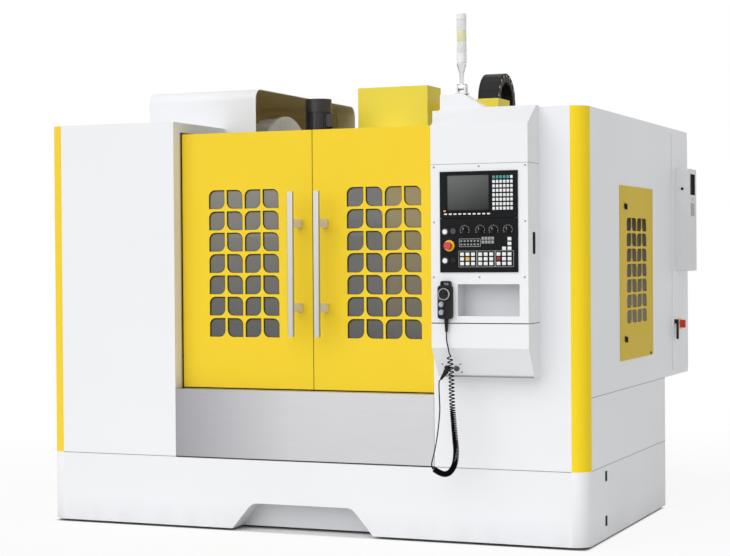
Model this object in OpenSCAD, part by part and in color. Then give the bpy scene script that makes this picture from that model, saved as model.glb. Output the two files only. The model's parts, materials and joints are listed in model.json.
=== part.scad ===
// Vertical machining centre with sliding leaf-grille doors, a side tool magazine and a hung control box.
// Millimetres, +Z up, -Y the operator's side. Drawn from the enclosure's centre line and front face,
// then moved so that the origin is the middle of the machine's footprint.

/* [Enclosure] */
// Width over both side covers
enclosure_w = 3300; // [3000:10:3600]
// Height of the covers above the floor
enclosure_h = 2350; // [2250:5:2450]
// Distance of the rear walls behind the column's front
wall_lap = 15; // [10:1:60]
// Sheet-metal thickness of covers and doors
sheet = 4; // [3:0.5:5]
// Outer radius of the two front corners
corner_r = 86; // [50:1:120]
// Depth of the roof over each front cover
roof_d = 660; // [300:10:670]
// Left edge of the door opening, from the centre line
opening_l = 806; // [740:2:860]
// Right edge of the door opening, from the centre line
opening_r = 792; // [740:2:810]

/* [Coolant tray] */
// Top of the tray
tray_h = 414; // [380:2:440]
// Gap below the tray's skirt
floor_gap = 15; // [8:1:30]
// Height of the toe notch
notch_h = 164; // [120:2:200]
// Width of the toe notch at the floor
notch_w = 894; // [700:2:1000]
// Depth of the toe notch
notch_d = 145; // [100:5:180]

/* [Doors] */
// Front face of the doors behind the front covers
door_y = 88; // [80:1:100]
// Width of each door
door_w = 868; // [850:2:900]
// Depth of the door flanges
door_t = 30; // [25:1:34]
// Top of the doors
door_top = 2280; // [2240:2:2320]
// Bottom of the doors
door_bottom = 790; // [770:2:800]
// Place of the meeting edges, from the centre line
door_seam = 33; // [0:1:50]
// Top of the apron's sill
apron_h = 806; // [803:1:840]
// Reach of the left door
left_travel = 700; // [500:5:715]
// Reach of the right door
right_travel = 640; // [500:5:645]
// Width of one leaf cut-out
cell_w = 100; // [80:1:105]
// Height of one leaf cut-out
cell_h = 108; // [80:1:112]
// Rounding of a leaf's two open corners
cell_r = 38; // [10:1:48]
// Strip between the leaves
cell_gap = 15; // [10:0.5:22]
// Bottom of the lowest row of leaves
grille_z = 1105; // [1050:5:1150]
// Length of the door handles
handle_l = 815; // [600:5:900]
// Width of the door handles
handle_w = 35; // [25:1:45]
// Distance of a handle's front face before the doors
handle_reach = 134; // [110:1:150]

/* [Axes] */
// Length of the table
table_l = 1400; // [1200:10:1500]
// Width of the table
table_w = 700; // [600:10:720]
// Height of the table's top face
table_z = 930; // [900:5:960]
// Travel of the table to either side
x_travel = 650; // [500:10:650]
// Travel of the saddle to either side
y_travel = 350; // [250:10:350]
// Travel of the head, downwards
z_travel = 700; // [600:10:700]
// Spindle axis behind the front face
spindle_y = 1000; // [980:5:1030]
// Distance from the spindle axis to the column
throat = 750; // [740:2:780]
// Spindle nose above the floor with the head raised
nose_z = 1740; // [1730:2:1760]
// Radius of the spindle cartridge
spindle_r = 80; // [65:1:90]
// Width between the T-slots
slot_pitch = 125; // [110:5:130]
// Mouth of a T-slot
slot_w = 18; // [14:1:22]

/* [Tool changer] */
// Pockets in the tool wheel
pocket_count = 24; // [16:1:24]
// Radius of the tool wheel
wheel_r = 350; // [320:5:355]
// Height of the wheel's axle
wheel_z = 2105; // [2095:1:2130]
// Distance of the arm's shaft from the spindle, sideways
arm_x = 378; // [370:1:390]
// Distance of the arm's shaft behind the spindle
arm_y = 100; // [80:1:110]

/* [Control box] */
// Left face of the control box
box_x0 = 855; // [845:1:870]
// Width of the control box
box_w = 540; // [520:2:560]
// Depth of the control box
box_d = 200; // [180:2:220]
// Underside of the control box
box_z0 = 915; // [880:5:940]
// Top edge of the control box's front face
box_z1 = 2253; // [2200:1:2270]
// Depth of the shelf pocket
pocket_d = 114; // [60:2:140]
// Height of the signal tower above its hinge
tower_h = 397; // [300:1:480]

/* [Electrical cabinet] */
// Depth of the electrical cabinet
cabinet_d = 647; // [600:1:700]
// Underside of the electrical cabinet
cabinet_z0 = 803; // [780:1:830]
// Depth of the cooling unit on the cabinet door
cooler_d = 85; // [60:1:110]

/* [Part] */
// Sub-part to build

/* [Hidden] */

$fn = 48;
run_gap = 0.2;                              // sliding ways and doors
bore_gap = 0.05;                            // turning shafts, on the radius
half_w = enclosure_w / 2;
side_x = half_w - sheet;                    // inner face of a side cover
column_y = spindle_y + throat;              // front of the column
enclosure_d = column_y + wall_lap;          // depth of the covers
rear_y = enclosure_d - sheet;               // inner face of the rear walls
column_d = 600;
column_w = 680;
column_top = 2330;
foot_w = 850;                               // the column's bolted foot
foot_t = 55;
bed_w = 1120;
way_top = 640;                              // top of the bed's ways
saddle_d = 640;
saddle_y0 = spindle_y - saddle_d / 2;
table_t = 90;
table_under = table_z - table_t;            // top of the saddle's ways
screw_r = 20;
y_screw_z = 570;
x_screw_z = table_under - 40;
z_screw_y = column_y + 45;
way_t = 30;                                 // height of the column's ways
carriage_y = column_y - way_t - run_gap;    // back of the head's carriage
head_w = 380;
head_top = nose_z + 460;
cover_y0 = spindle_y + 400;                 // front of the head cover
cover_y1 = carriage_y - 81;
cover_top = 2635;
cover_w = 474;
// the chain stands over a tray on the head cover and hangs on the rear wall
chain_x0 = 569;
chain_x1 = 699;
chain_r1 = 178;
chain_r0 = 118;
chain_y = rear_y - 3 - chain_r1;
chain_z = 2526;
chain_end = 2090;
chain_tray_d = 223;                         // depth of the tray under the chain
chain_tray_z0 = 2452;
chain_tray_z1 = 2535;
chain_n_arc = 9;
chain_n_leg = 9;
arm_px = -arm_x;
arm_py = spindle_y + arm_y;
arm_len = sqrt(arm_x * arm_x + arm_y * arm_y);
arm_z0 = nose_z - 80;
arm_z1 = nose_z - 40;
wheel_y = spindle_y + 2 * arm_y;
wheel_x1 = -640;
mag_x0 = -1346;
mag_x1 = -609;
mag_y0 = 680;
mag_y1 = 2226;
mag_z0 = wheel_z - wheel_r - 30;
mag_z1 = wheel_z + wheel_r + 135;
mag_r = 70;
rail_z0 = door_top - 80;
rail_z1 = door_top - 18;
rail_y0 = door_y + door_t + 8;
rail_y1 = rail_y0 + 30;
pitch_x = cell_w + cell_gap;
pitch_z = cell_h + cell_gap;
grille_w = 4 * cell_w + 3 * cell_gap;
grille_h = 7 * cell_h + 6 * cell_gap;
door_l0 = door_seam - 1 - door_w;
door_r0 = door_seam + 1;
handle_y0 = door_y - handle_reach;
handle_z0 = grille_z + (grille_h - handle_l) / 2 - 6;
handle_off = 80;
box_x1 = box_x0 + box_w;
box_y = -box_d;
plate_z0 = 1203;
plate_z1 = 2049;
plate_gap = 5;                              // joint under the face plate
panel_x0 = box_x0 + 53;
panel_x1 = box_x1 - 54;
panel_z0 = 1475;
panel_zm = 1760;
panel_z1 = 2008;
panel_y = box_y - 6;                        // front of the black panels
hood_z = enclosure_h + 82;
slope_y = -107;                             // the control box's lower slope
slope_z0 = box_z0 + 13;
slope_z1 = 1075;
tower_x = box_x0 + 112;
tower_y = -9;
tower_pz = hood_z + 38;
tower_top = tower_pz + tower_h;
tier_h = (tower_h - 217) / 3;               // one lamp of the tower
vent_y0 = 687;
vent_y1 = 1453;
vent_z0 = 963;
vent_z1 = 1953;
leaf_x = half_w + 0.5;                       // back of the hinged leaves on the right side
cabinet_x0 = half_w - 600;
cabinet_y1 = enclosure_d + cabinet_d;
gear_x = cabinet_x0 + sheet + 26;           // switchgear's plate, and the pitch of its rows
gear_t = 4;
gear_z0 = cabinet_z0 + 50;
gear_p = (enclosure_h - cabinet_z0 - 100) / 4;
duct_h = 44;
cdoor_y0 = enclosure_d + 207;
cdoor_y1 = cabinet_y1 - 12;
cdoor_z0 = cabinet_z0 + 35;
cdoor_z1 = enclosure_h - 38;
handle_py = cdoor_y0 + 33;
handle_pz = 1140;
iso_y = cdoor_y0 + 178;
iso_z = 1121;
cool_y0 = cdoor_y0 + 91;
cool_w = 216;
cool_z0 = 1457;
cool_h = 644;
cool_edge = 41;                             // border beside the cooling unit's louvre
louvre_h = 132;
louvre_d = 16;
fin_n = 10;
pend_x0 = box_x0 + 47;
pend_w = 77;
pend_h = 177;
pend_z0 = 1229;
pend_t = 34;
pend_y = box_y - pend_t;
pend_front = pend_y - 26;                   // tip of the dial's finger knob
dial_x = pend_x0 + 38;
dial_z = pend_z0 + 131;
sleeve_x = pend_x0 + 43;
// middle of the footprint
mid_x = (cooler_d + 0.5 + sheet) / 2;
mid_y = (cabinet_y1 + pend_front) / 2;

module at_origin() { translate([-mid_x, -mid_y, 0]) children(); }

// block between two corners
module bx(x0, x1, y0, y1, z0, z1) { translate([x0, y0, z0]) cube([x1 - x0, y1 - y0, z1 - z0]); }

// cylinder along X, Y or Z from a start point
module rod_x(p, r, l) { translate(p) rotate([0, 90, 0]) cylinder(r = r, h = l); }
module rod_y(p, r, l) { translate(p) rotate([-90, 0, 0]) cylinder(r = r, h = l); }
module rod_z(p, r, l) { translate(p) cylinder(r = r, h = l); }

// children along a direction from a point
module along(p, d) { translate(p) rotate([0, acos(d[2]), atan2(d[1], d[0])]) children(); }

// rounded rectangle from its low corner
module rrect(w, h, r) {
    translate([r, 0]) square([w - 2 * r, h]);
    translate([0, r]) square([w, h - 2 * r]);
    for (x = [r, w - r], y = [r, h - r]) translate([x, y]) circle(r = r);
}

// a 2D shape in X and Z made into a plate from y0 to y1
module plate_xz(y0, y1) { translate([0, y1, 0]) rotate([90, 0, 0]) linear_extrude(y1 - y0) children(); }

// a 2D shape in Y and Z made into a plate from x0 to x1
module plate_yz(x0, x1) { translate([x0, 0, 0]) rotate([90, 0, 90]) linear_extrude(x1 - x0) children(); }

// one leaf: two opposite corners rounded
module leaf(w, h, r, left) {
    difference() {
        square([w, h]);
        translate([left ? -1 : w - r, h - r]) square([r + 1, r + 1]);
        translate([left ? w - r : -1, -1]) square([r + 1, r + 1]);
    }
    translate([left ? r : w - r, h - r]) circle(r = r);
    translate([left ? w - r : r, r]) circle(r = r);
}

// four columns and seven rows of leaves from the low corner
module leaves(w, h, gap, r) {
    for (c = [0:3], k = [0:6])
        translate([c * (w + gap), k * (h + gap)]) leaf(w, h, r, c % 2 == 0);
}

// round bar through a list of points that never runs along Y
function unit(v) = v / norm(v);
function heading(pts, i) = unit(pts[min(i + 1, len(pts) - 1)] - pts[max(i - 1, 0)]);
function ring(p, t, r, n) = let (u = unit(cross(t, [0, 1, 0])), v = cross(t, u))
    [for (k = [0:n - 1]) p + r * (cos(360 * k / n) * u + sin(360 * k / n) * v)];

module tube(pts, r, n = 12) {
    m = len(pts);
    polyhedron(points = [for (i = [0:m - 1]) each ring(pts[i], heading(pts, i), r, n)],
        faces = [[for (k = [0:n - 1]) k], [for (k = [0:n - 1]) m * n - 1 - k],
            for (i = [0:m - 2], k = [0:n - 1]) each [
                [i * n + k, (i + 1) * n + k, i * n + (k + 1) % n],
                [i * n + (k + 1) % n, (i + 1) * n + k, (i + 1) * n + (k + 1) % n]]]);
}

// cast bed with two box ways, a trough for the screw and the column's seat
module bed_casting() color("#8f9396") difference() {
    union() {
        bx(-bed_w / 2, bed_w / 2, 300, column_y + column_d, 45, 420);
        bx(-480, 480, 300, column_y - 30, 420, way_top - 40);
        for (s = [-1, 1]) bx(s * 360 - 60, s * 360 + 60, 300, column_y - 30, way_top - 41, way_top);
        bx(-440, 440, column_y - 10, column_y + column_d, 420, way_top);
        bx(-110, 110, 300, 330, 420, way_top);
        bx(-110, 110, column_y - 60, column_y - 30, 420, way_top);
    }
    bx(-110, 110, 330, column_y - 60, 490, way_top + 1);
    for (s = [-1, 1], y = [420:420:2100])
        bx(s * (bed_w / 2 - 30) - 60, s * (bed_w / 2 - 30) + 60, y, min(y + 340, column_y + column_d - 60), 110, 360);
    rod_y([0, 295, y_screw_z], screw_r + bore_gap, 45);
    rod_y([0, column_y - 65, y_screw_z], screw_r + bore_gap, 40);
}

// cast column with two box ways and a well for the screw
module column_casting() color("#9a9ea1") difference() {
    union() {
        bx(-column_w / 2, column_w / 2, column_y, column_y + column_d, way_top, column_top);
        for (s = [-1, 1]) bx(s * 250 - 50, s * 250 + 50, column_y - way_t, column_y + 1, 1000, column_top - 5);
        bx(-foot_w / 2, foot_w / 2, enclosure_d + 10, column_y + column_d, way_top, way_top + foot_t);
        for (s = [-1, 1], y = [column_y + 176, column_y + 524]) plate_xz(y, y + 26)
            polygon([[s * (column_w / 2 - 1), way_top], [s * (foot_w / 2 - 8), way_top], [s * (foot_w / 2 - 8), way_top + foot_t],
                [s * (column_w / 2 - 1), way_top + 330]]);
    }
    bx(-90, 90, column_y - 1, column_y + 110, 985, column_top - 25);
    for (z = [760:400:1960])
        bx(-column_w / 2 - 1, column_w / 2 + 1, column_y + 220, column_y + 500, z, z + 290);
    bx(-200, 200, column_y + 150, column_y + column_d + 1, 900, 2200);
    rod_z([0, z_screw_y, column_top - 30], screw_r + bore_gap, 40);
    rod_z([0, z_screw_y, 940], screw_r + bore_gap, 50);
}

// screw jacks on round pads
module levelling_feet() color("#5c6064") for (s = [-1, 1], y = [360, 900, 1500, column_y + column_d - 100]) {
    rod_z([s * 500, y, 0], 70, 18);
    rod_z([s * 500, y, 18], 42, 12);
    rod_z([s * 500, y, 30], 22, 15);
}

module tray_outline(inset) {
    r = corner_r - inset;
    translate([-half_w + inset, corner_r]) square([enclosure_w - 2 * inset, enclosure_d - corner_r - inset]);
    translate([-half_w + corner_r, inset]) square([enclosure_w - 2 * corner_r, corner_r]);
    for (s = [-1, 1]) translate([s * (half_w - corner_r), corner_r]) circle(r = r);
}

module notch_shape(grow) {
    top = notch_w * 0.345 + grow;
    foot = notch_w / 2 + grow;
    translate([-10, 0]) polygon([[-foot, -20], [-foot, 0], [-top - 22, notch_h - 26 + grow], [-top, notch_h - 7 + grow],
        [-top + 28, notch_h + grow], [top - 28, notch_h + grow], [top, notch_h - 7 + grow],
        [top + 22, notch_h - 26 + grow], [foot, 0], [foot, -20]]);
}

// folded skirt and chip deck around the bed, with the toe notch
module coolant_tray() color("#eceef0") difference() {
    union() {
        translate([0, 0, floor_gap]) linear_extrude(tray_h - floor_gap) difference() {
            tray_outline(0);
            tray_outline(sheet);
        }
        translate([0, 0, tray_h - sheet]) linear_extrude(sheet) difference() {
            tray_outline(0);
            translate([-bed_w / 2 - 1, 299]) square([bed_w + 2, enclosure_d]);
        }
        intersection() {
            plate_xz(1, notch_d + sheet) notch_shape(sheet);
            bx(-half_w, half_w, 0, 400, floor_gap, tray_h);
        }
    }
    plate_xz(-1, notch_d) notch_shape(0);
    bx(-bed_w / 2 - 1, bed_w / 2 + 1, rear_y - 1, enclosure_d + 1, 0, tray_h + 1);
    for (z = [82, 327]) bx(side_x - 1, half_w + 1, 352, 402, z, z + 57);
}

// folded front cover with its return and roof; s is the side
module front_cover(s, edge) {
    x0 = s < 0 ? -half_w + corner_r : edge;
    x1 = s < 0 ? -edge : half_w - corner_r;
    bx(x0, x1, 0, sheet, tray_h, enclosure_h);
    bx(x0, x1, 0, roof_d, enclosure_h - sheet, enclosure_h);
    if (s < 0) bx(-side_x, x0 + 1, corner_r, roof_d, enclosure_h - sheet, enclosure_h);
    else bx(x1 - 1, side_x, corner_r, roof_d, enclosure_h - sheet, enclosure_h);
    e = s < 0 ? -edge - sheet : edge;
    bx(e, e + sheet, 0, door_y - 8, tray_h, enclosure_h);
    bx(e, e + sheet, door_y - 9, roof_d, door_top + 12, enclosure_h);
    bx(x0, x1, roof_d - sheet, roof_d, door_top + 12, enclosure_h);
}

module left_front_cover() color("#f2f3f5") front_cover(-1, opening_l);

module right_front_cover() color("#f2f3f5") front_cover(1, opening_r);

// side sheet folded into the rear wall, low behind the magazine
module left_side_cover() color("#e9ebed") {
    bx(-half_w, -side_x, corner_r, enclosure_d, tray_h, enclosure_h);
    bx(-half_w, mag_x0 - 14, rear_y, enclosure_d, tray_h, enclosure_h);
    bx(mag_x0 - 15, -bed_w / 2 - 1, rear_y, enclosure_d, tray_h, mag_z0 - 25);
    bx(-bed_w / 2 - 2, -column_w / 2, rear_y, enclosure_d, way_top, mag_z0 - 25);
}

// side sheet folded into the rear wall, with the vent opening
module right_side_cover() color("#e9ebed") difference() {
    union() {
        bx(side_x, half_w, corner_r, enclosure_d, tray_h, enclosure_h);
        bx(bed_w / 2 + 1, half_w, rear_y, enclosure_d, tray_h, enclosure_h);
        bx(column_w / 2, bed_w / 2 + 2, rear_y, enclosure_d, way_top, enclosure_h);
    }
    bx(side_x - 1, half_w + 1, vent_y0 + 30, vent_y1 - 30, vent_z0 + 30, vent_z1 - 30);
}

// quarter-round corner strips
module corner_trims() color("#f4c92a") for (s = [-1, 1])
    translate([s * (half_w - corner_r), corner_r, tray_h]) rotate([0, 0, s < 0 ? 180 : 270])
        rotate_extrude(angle = 90) translate([corner_r - sheet, 0]) square([sheet, enclosure_h - tray_h]);

// steel box behind the rear wall, open at the door
module electrical_cabinet() color("#e6e8ea") {
    difference() {
        bx(cabinet_x0, half_w, enclosure_d, cabinet_y1, cabinet_z0, enclosure_h);
        bx(cabinet_x0 + sheet, side_x, enclosure_d + sheet, cabinet_y1 - sheet, cabinet_z0 + sheet, enclosure_h - sheet);
        bx(side_x - 1, half_w + 1, cdoor_y0 + 14, cdoor_y1 - 14, cdoor_z0 + 14, cdoor_z1 - 14);
    }
    switchgear();
}

// row of devices from a side profile, spaced along Y
module devices(n, y, w, gap, z) for (k = [0:n - 1])
    plate_xz(y + k * (w + gap), y + k * (w + gap) + w) translate([gear_x + gear_t - 1, z]) children();

// mounting plate on studs with wiring ducts, transformer, breakers, contactors and drives
module switchgear() {
    y0 = enclosure_d + 36;
    y1 = cabinet_y1 - 34;
    bx(gear_x, gear_x + gear_t, y0, y1, cabinet_z0 + 40, enclosure_h - 40);
    for (y = [y0 + 20, y1 - 20], z = [cabinet_z0 + 60, enclosure_h - 60]) rod_x([cabinet_x0 + sheet - 1, y, z], 9, gear_x - cabinet_x0 - sheet + 2);
    for (k = [0:3]) bx(gear_x + gear_t - 1, gear_x + 62, y0 + 8, y1 - 8, gear_z0 + k * gear_p, gear_z0 + k * gear_p + duct_h);
    devices(2, y0 + 24, 190, 60, gear_z0 + duct_h + 40) polygon([[0, 0], [150, 0], [150, 30], [120, 30], [120, 130], [150, 130], [150, 160], [0, 160]]);
    devices(9, y0 + 24, 54, 2, gear_z0 + gear_p + gear_p / 2 - 20) polygon([[0, 0], [44, 0], [44, 20], [70, 26], [70, 60], [44, 66], [44, 86], [0, 86]]);
    devices(7, y0 + 24, 62, 12, gear_z0 + 2 * gear_p + gear_p / 2 - 25) polygon([[0, 0], [60, 0], [60, 18], [98, 18], [98, 72], [60, 72], [60, 90], [0, 90]]);
    devices(5, y0 + 24, 92, 14, gear_z0 + 3 * gear_p + duct_h + 30) polygon([[0, 0], [150, 0], [178, 36], [178, gear_p - duct_h - 84], [150, gear_p - duct_h - 60], [0, gear_p - duct_h - 60]]);
}

// steel apron with its sill
module front_apron() color("#c9cccf") {
    bx(-opening_l + 1, opening_r - 1, 0, sheet, tray_h, apron_h);
    bx(-opening_l + 1, opening_r - 1, 0, door_y - 4, apron_h - sheet, apron_h);
    bx(-opening_l + 1, opening_r - 1, door_y - 4 - sheet, door_y - 4, apron_h - 60, apron_h);
}

// beam that both doors hang on
module door_rail() color("#85898d") bx(-side_x, side_x, rail_y0, rail_y1, rail_z0, rail_z1);

// hung sheet door with flanges, hook and leaf grille
module door(x0, gx) difference() {
    x1 = x0 + door_w;
    union() {
        bx(x0, x1, door_y, door_y + sheet, door_bottom, door_top);
        for (x = [x0, x1 - sheet]) bx(x, x + sheet, door_y, door_y + door_t, door_bottom, rail_z0 - 10);
        bx(x0, x1, door_y, door_y + door_t, door_bottom, door_bottom + sheet);
        bx(x0, x1, door_y, rail_y1 + 9, rail_z1 + run_gap, rail_z1 + run_gap + sheet);
        bx(x0, x1, rail_y1 + 9 - sheet, rail_y1 + 9, rail_z0 + 10, rail_z1 + run_gap + sheet);
    }
    plate_xz(door_y - 1, door_y + sheet + 1) translate([gx, grille_z]) leaves(cell_w, cell_h, cell_gap, cell_r);
}

grille_lx = door_seam - door_w / 2 - grille_w / 2;
grille_rx = door_seam + door_w / 2 - grille_w / 2;

module left_door() color("#efd33c") door(door_l0, grille_lx);

module right_door() color("#efd33c") door(door_r0, grille_rx);

module window(gx) bx(gx - 20, gx + grille_w + 20, door_y + sheet, door_y + sheet + 6, grille_z - 20, grille_z + grille_h + 20);

module left_window() color("#5b6064") window(grille_lx);

module right_window() color("#5b6064") window(grille_rx);

// flat bar on two round standoffs
module handle(cx) {
    translate([cx - handle_w / 2, handle_y0, handle_z0]) linear_extrude(handle_l) rrect(handle_w, 20, 5);
    for (z = [0.2, 0.78]) {
        rod_y([cx, handle_y0 + 19, handle_z0 + z * handle_l], 11, handle_reach - 19);
        rod_y([cx, door_y - 6, handle_z0 + z * handle_l], 17, 6);
    }
}

module left_handle() color("#b9bdc1") handle(door_seam - handle_off);

module right_handle() color("#b9bdc1") handle(door_seam + handle_off);

// cross slide on the bed's ways, carrying the table's ways and drive
module saddle() color("#8f9396") difference() {
    union() {
        bx(-520, 520, saddle_y0, saddle_y0 + saddle_d, way_top + run_gap, 760);
        bx(-table_l / 2, table_l / 2, saddle_y0 + 60, saddle_y0 + saddle_d - 60, 730, table_under - 30);
        for (s = [-1, 1]) bx(-table_l / 2, table_l / 2, spindle_y + s * 200 - 40, spindle_y + s * 200 + 40, table_under - 31, table_under);
        bx(-70, 70, spindle_y - 50, spindle_y + 50, y_screw_z - 45, way_top + 5);
        bx(table_l / 2, table_l / 2 + 200, spindle_y - 45, spindle_y + 45, x_screw_z - 50, x_screw_z + 35);
    }
    bx(-table_l / 2 + 12, table_l / 2 - 12, spindle_y - 55, spindle_y + 55, x_screw_z - 35, table_under + 1);
    rod_x([-table_l / 2 - 1, spindle_y, x_screw_z], screw_r + bore_gap, table_l + 2);
    rod_y([0, spindle_y - 60, y_screw_z], screw_r + bore_gap, 120);
}

// slotted table with the nut of its screw
module table() color("#a9adb0") difference() {
    union() {
        bx(-table_l / 2, table_l / 2, spindle_y - table_w / 2, spindle_y + table_w / 2, table_under + run_gap, table_z);
        bx(-34, 34, spindle_y - 48, spindle_y + 48, x_screw_z - 30, table_under + 5);
    }
    for (k = [-2:2]) {
        y = spindle_y + k * slot_pitch;
        bx(-table_l / 2 - 1, table_l / 2 + 1, y - slot_w / 2, y + slot_w / 2, table_z - 28, table_z + 1);
        bx(-table_l / 2 - 1, table_l / 2 + 1, y - slot_w / 2 - 7, y + slot_w / 2 + 7, table_z - 42, table_z - 28);
    }
    rod_x([-40, spindle_y, x_screw_z], screw_r + bore_gap, 80);
}

module x_screw() color("#c4c7ca") rod_x([-table_l / 2 + 1, spindle_y, x_screw_z], screw_r, table_l - 2);

module y_screw() color("#c4c7ca") rod_y([0, 301, y_screw_z], screw_r, column_y - 30 - 302);

module z_screw() color("#c4c7ca") rod_z([0, z_screw_y, 941], screw_r, column_top - 942);

// head casting: carriage on the column's ways, body and spindle bore
module spindle_head() color("#e4e6e8") difference() {
    union() {
        bx(-310, 310, carriage_y - 80, carriage_y, nose_z + 20, column_top - 15);
        translate([0, 0, nose_z + 45]) linear_extrude(head_top - nose_z - 45) {
            polygon([[-head_w / 2, spindle_y], [head_w / 2, spindle_y], [head_w / 2, carriage_y - 300], [290, carriage_y - 79],
                [-290, carriage_y - 79], [-head_w / 2, carriage_y - 300]]);
            translate([0, spindle_y]) circle(r = head_w / 2);
        }
        translate([0, spindle_y, nose_z + 4]) cylinder(r1 = spindle_r + 30, r2 = spindle_r + 62, h = 42);
        bx(-45, 45, carriage_y - 1, z_screw_y + 40, column_top - 240, column_top - 180);
    }
    rod_z([0, spindle_y, nose_z], spindle_r + bore_gap, head_top - nose_z + 1);
    rod_z([0, z_screw_y, column_top - 250], screw_r + bore_gap, 80);
}

// cartridge with tapered socket, drive keys and belt pulley
module spindle() color("#b4b8bc") difference() {
    union() {
        rod_z([0, spindle_y, nose_z], spindle_r, head_top - nose_z + 4);
        rod_z([0, spindle_y, head_top + 4], spindle_r + 15, 60);
        rod_z([0, spindle_y, nose_z - 6], 44, 8);
        for (s = [-1, 1]) bx(s * 33 - 8, s * 33 + 8, spindle_y - 8, spindle_y + 8, nose_z - 14, nose_z);
    }
    translate([0, spindle_y, nose_z - 15]) cylinder(r1 = 24.4, r2 = 12.5, h = 82);
    rod_z([0, spindle_y, nose_z + 60], 9, 500);
}

// motor standing on the back of the head
module spindle_motor() color("#33373b") {
    translate([-125, cover_y0 + 40, head_top]) linear_extrude(310) rrect(250, 180, 30);
    bx(-140, 140, cover_y0 + 25, cover_y0 + 231, head_top, head_top + 22);
    translate([0, cover_y0 + 130, head_top + 309]) cylinder(r = 80, h = 40);
}

// folded cover over belt and motor, with the chain's tray on an arm
module head_cover() color("#f1d23a") {
    tray_y0 = chain_y - chain_r1 - 6;
    tray_y1 = tray_y0 + chain_tray_d;
    difference() {
        union() {
            bx(-cover_w / 2, cover_w / 2, cover_y0, cover_y1, head_top, cover_top);
            bx(-150, 150, spindle_y - 130, cover_y0 + 1, head_top, head_top + 120);
        }
        bx(-cover_w / 2 + sheet, cover_w / 2 - sheet, cover_y0 + sheet, cover_y1 - sheet, head_top - 1, cover_top - sheet);
        bx(-150 + sheet, 150 - sheet, spindle_y - 130 + sheet, cover_y0 + sheet + 1, head_top - 1, head_top + 120 - sheet);
    }
    difference() {
        bx(cover_w / 2 - 1, chain_x1 + 6, tray_y0, tray_y1, chain_tray_z0, chain_tray_z1);
        bx(cover_w / 2, chain_x0 - 8, tray_y0 - 1, tray_y1 - 80, chain_tray_z0 - 1, chain_tray_z1 + 1);
        bx(cover_w / 2, chain_x1 + 6 - sheet, tray_y0 + sheet, tray_y1 - sheet, chain_tray_z0 + sheet, chain_tray_z1 + 1);
    }
}

// tool wheel: plate, hub and pots
module magazine_wheel() color("#b9bcbf") difference() {
    union() {
        rod_x([wheel_x1 - 20, wheel_y, wheel_z], wheel_r, 20);
        rod_x([wheel_x1 - 60, wheel_y, wheel_z], 95, 75);
        for (k = [0:pocket_count - 1]) {
            a = k * 360 / pocket_count;
            rod_x([wheel_x1 - 150, wheel_y + (wheel_r - 42) * sin(a), wheel_z + (wheel_r - 42) * cos(a)], 33, 151);
        }
    }
    rod_x([wheel_x1 - 100, wheel_y, wheel_z], 40 + bore_gap, 200);
    for (k = [0:pocket_count - 1]) {
        a = k * 360 / pocket_count;
        rod_x([wheel_x1 - 151, wheel_y + (wheel_r - 42) * sin(a), wheel_z + (wheel_r - 42) * cos(a)], 22, 100);
    }
    for (k = [0:5])
        rod_x([wheel_x1 - 30, wheel_y + 180 * sin(k * 60), wheel_z + 180 * cos(k * 60)], 55, 40);
}

// gearbox of the changer on its beam from the column, with the wheel's axle
module cam_box() color("#7d8185") difference() {
    union() {
        bx(arm_px - 92, arm_px + 88, arm_py - 140, arm_py + 140, arm_z1 + 40, 2330);
        bx(arm_px - 92, -column_w / 2, arm_py + 139, column_y + 150, 1850, 2200);
        rod_x([wheel_x1 - 75, wheel_y, wheel_z], 40, arm_px - 91 - wheel_x1 + 75);
        rod_x([wheel_x1 - 75, wheel_y, wheel_z], 62, 14);
    }
    rod_z([arm_px, arm_py, arm_z1 + 39], 45 + bore_gap, 60);
}

// double arm on its shaft, parked fore and aft
module exchange_arm() color("#aeb2b5") difference() {
    union() {
        rod_z([arm_px, arm_py, arm_z0], 78, arm_z1 - arm_z0);
        rod_z([arm_px, arm_py, arm_z1 - 1], 45, 90);
        bx(arm_px - 38, arm_px + 38, arm_py - arm_len - 22, arm_py + arm_len + 22, arm_z0 + 6, arm_z1 - 6);
        for (s = [-1, 1]) rod_z([arm_px, arm_py + s * arm_len, arm_z0], 52, arm_z1 - arm_z0);
    }
    for (s = [-1, 1]) {
        rod_z([arm_px, arm_py + s * arm_len, arm_z0 - 1], 32, 60);
        bx(arm_px - (s > 0 ? 60 : 0), arm_px + (s > 0 ? 0 : 60), arm_py + s * arm_len - 26, arm_py + s * arm_len + 26, arm_z0 - 1, arm_z1 + 1);
    }
}

// changer's motor with fan hood
module exchange_motor() color("#26282b") {
    rod_z([arm_px, arm_py, 2330], 90, 14);
    rod_z([arm_px, arm_py, 2344], 76, 120);
    for (k = [0:17]) translate([arm_px, arm_py, 2348]) rotate([0, 0, k * 20]) bx(70, 82, -3, 3, 0, 110);
    rod_z([arm_px, arm_py, 2462], 82, 83);
    bx(arm_px + 60, arm_px + 112, arm_py - 40, arm_py + 40, 2370, 2450);
}

// feed motors of the saddle and the head
module servo_motors() color("#2c2f33") {
    translate([0, 300, y_screw_z]) rotate([90, 0, 0]) servo();
    translate([0, z_screw_y, column_top]) servo();
}

// one motor standing on its flange: square body with rounded edges, end bell and encoder cap
module servo() {
    translate([-75, -75, 0]) linear_extrude(14) rrect(150, 150, 16);
    translate([-65, -65, 13]) linear_extrude(118) rrect(130, 130, 24);
    translate([-58, -58, 130]) linear_extrude(24) rrect(116, 116, 22);
    translate([-44, -44, 153]) linear_extrude(50) rrect(88, 88, 18);
    bx(-22, 22, 64, 88, 34, 84);
}

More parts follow.
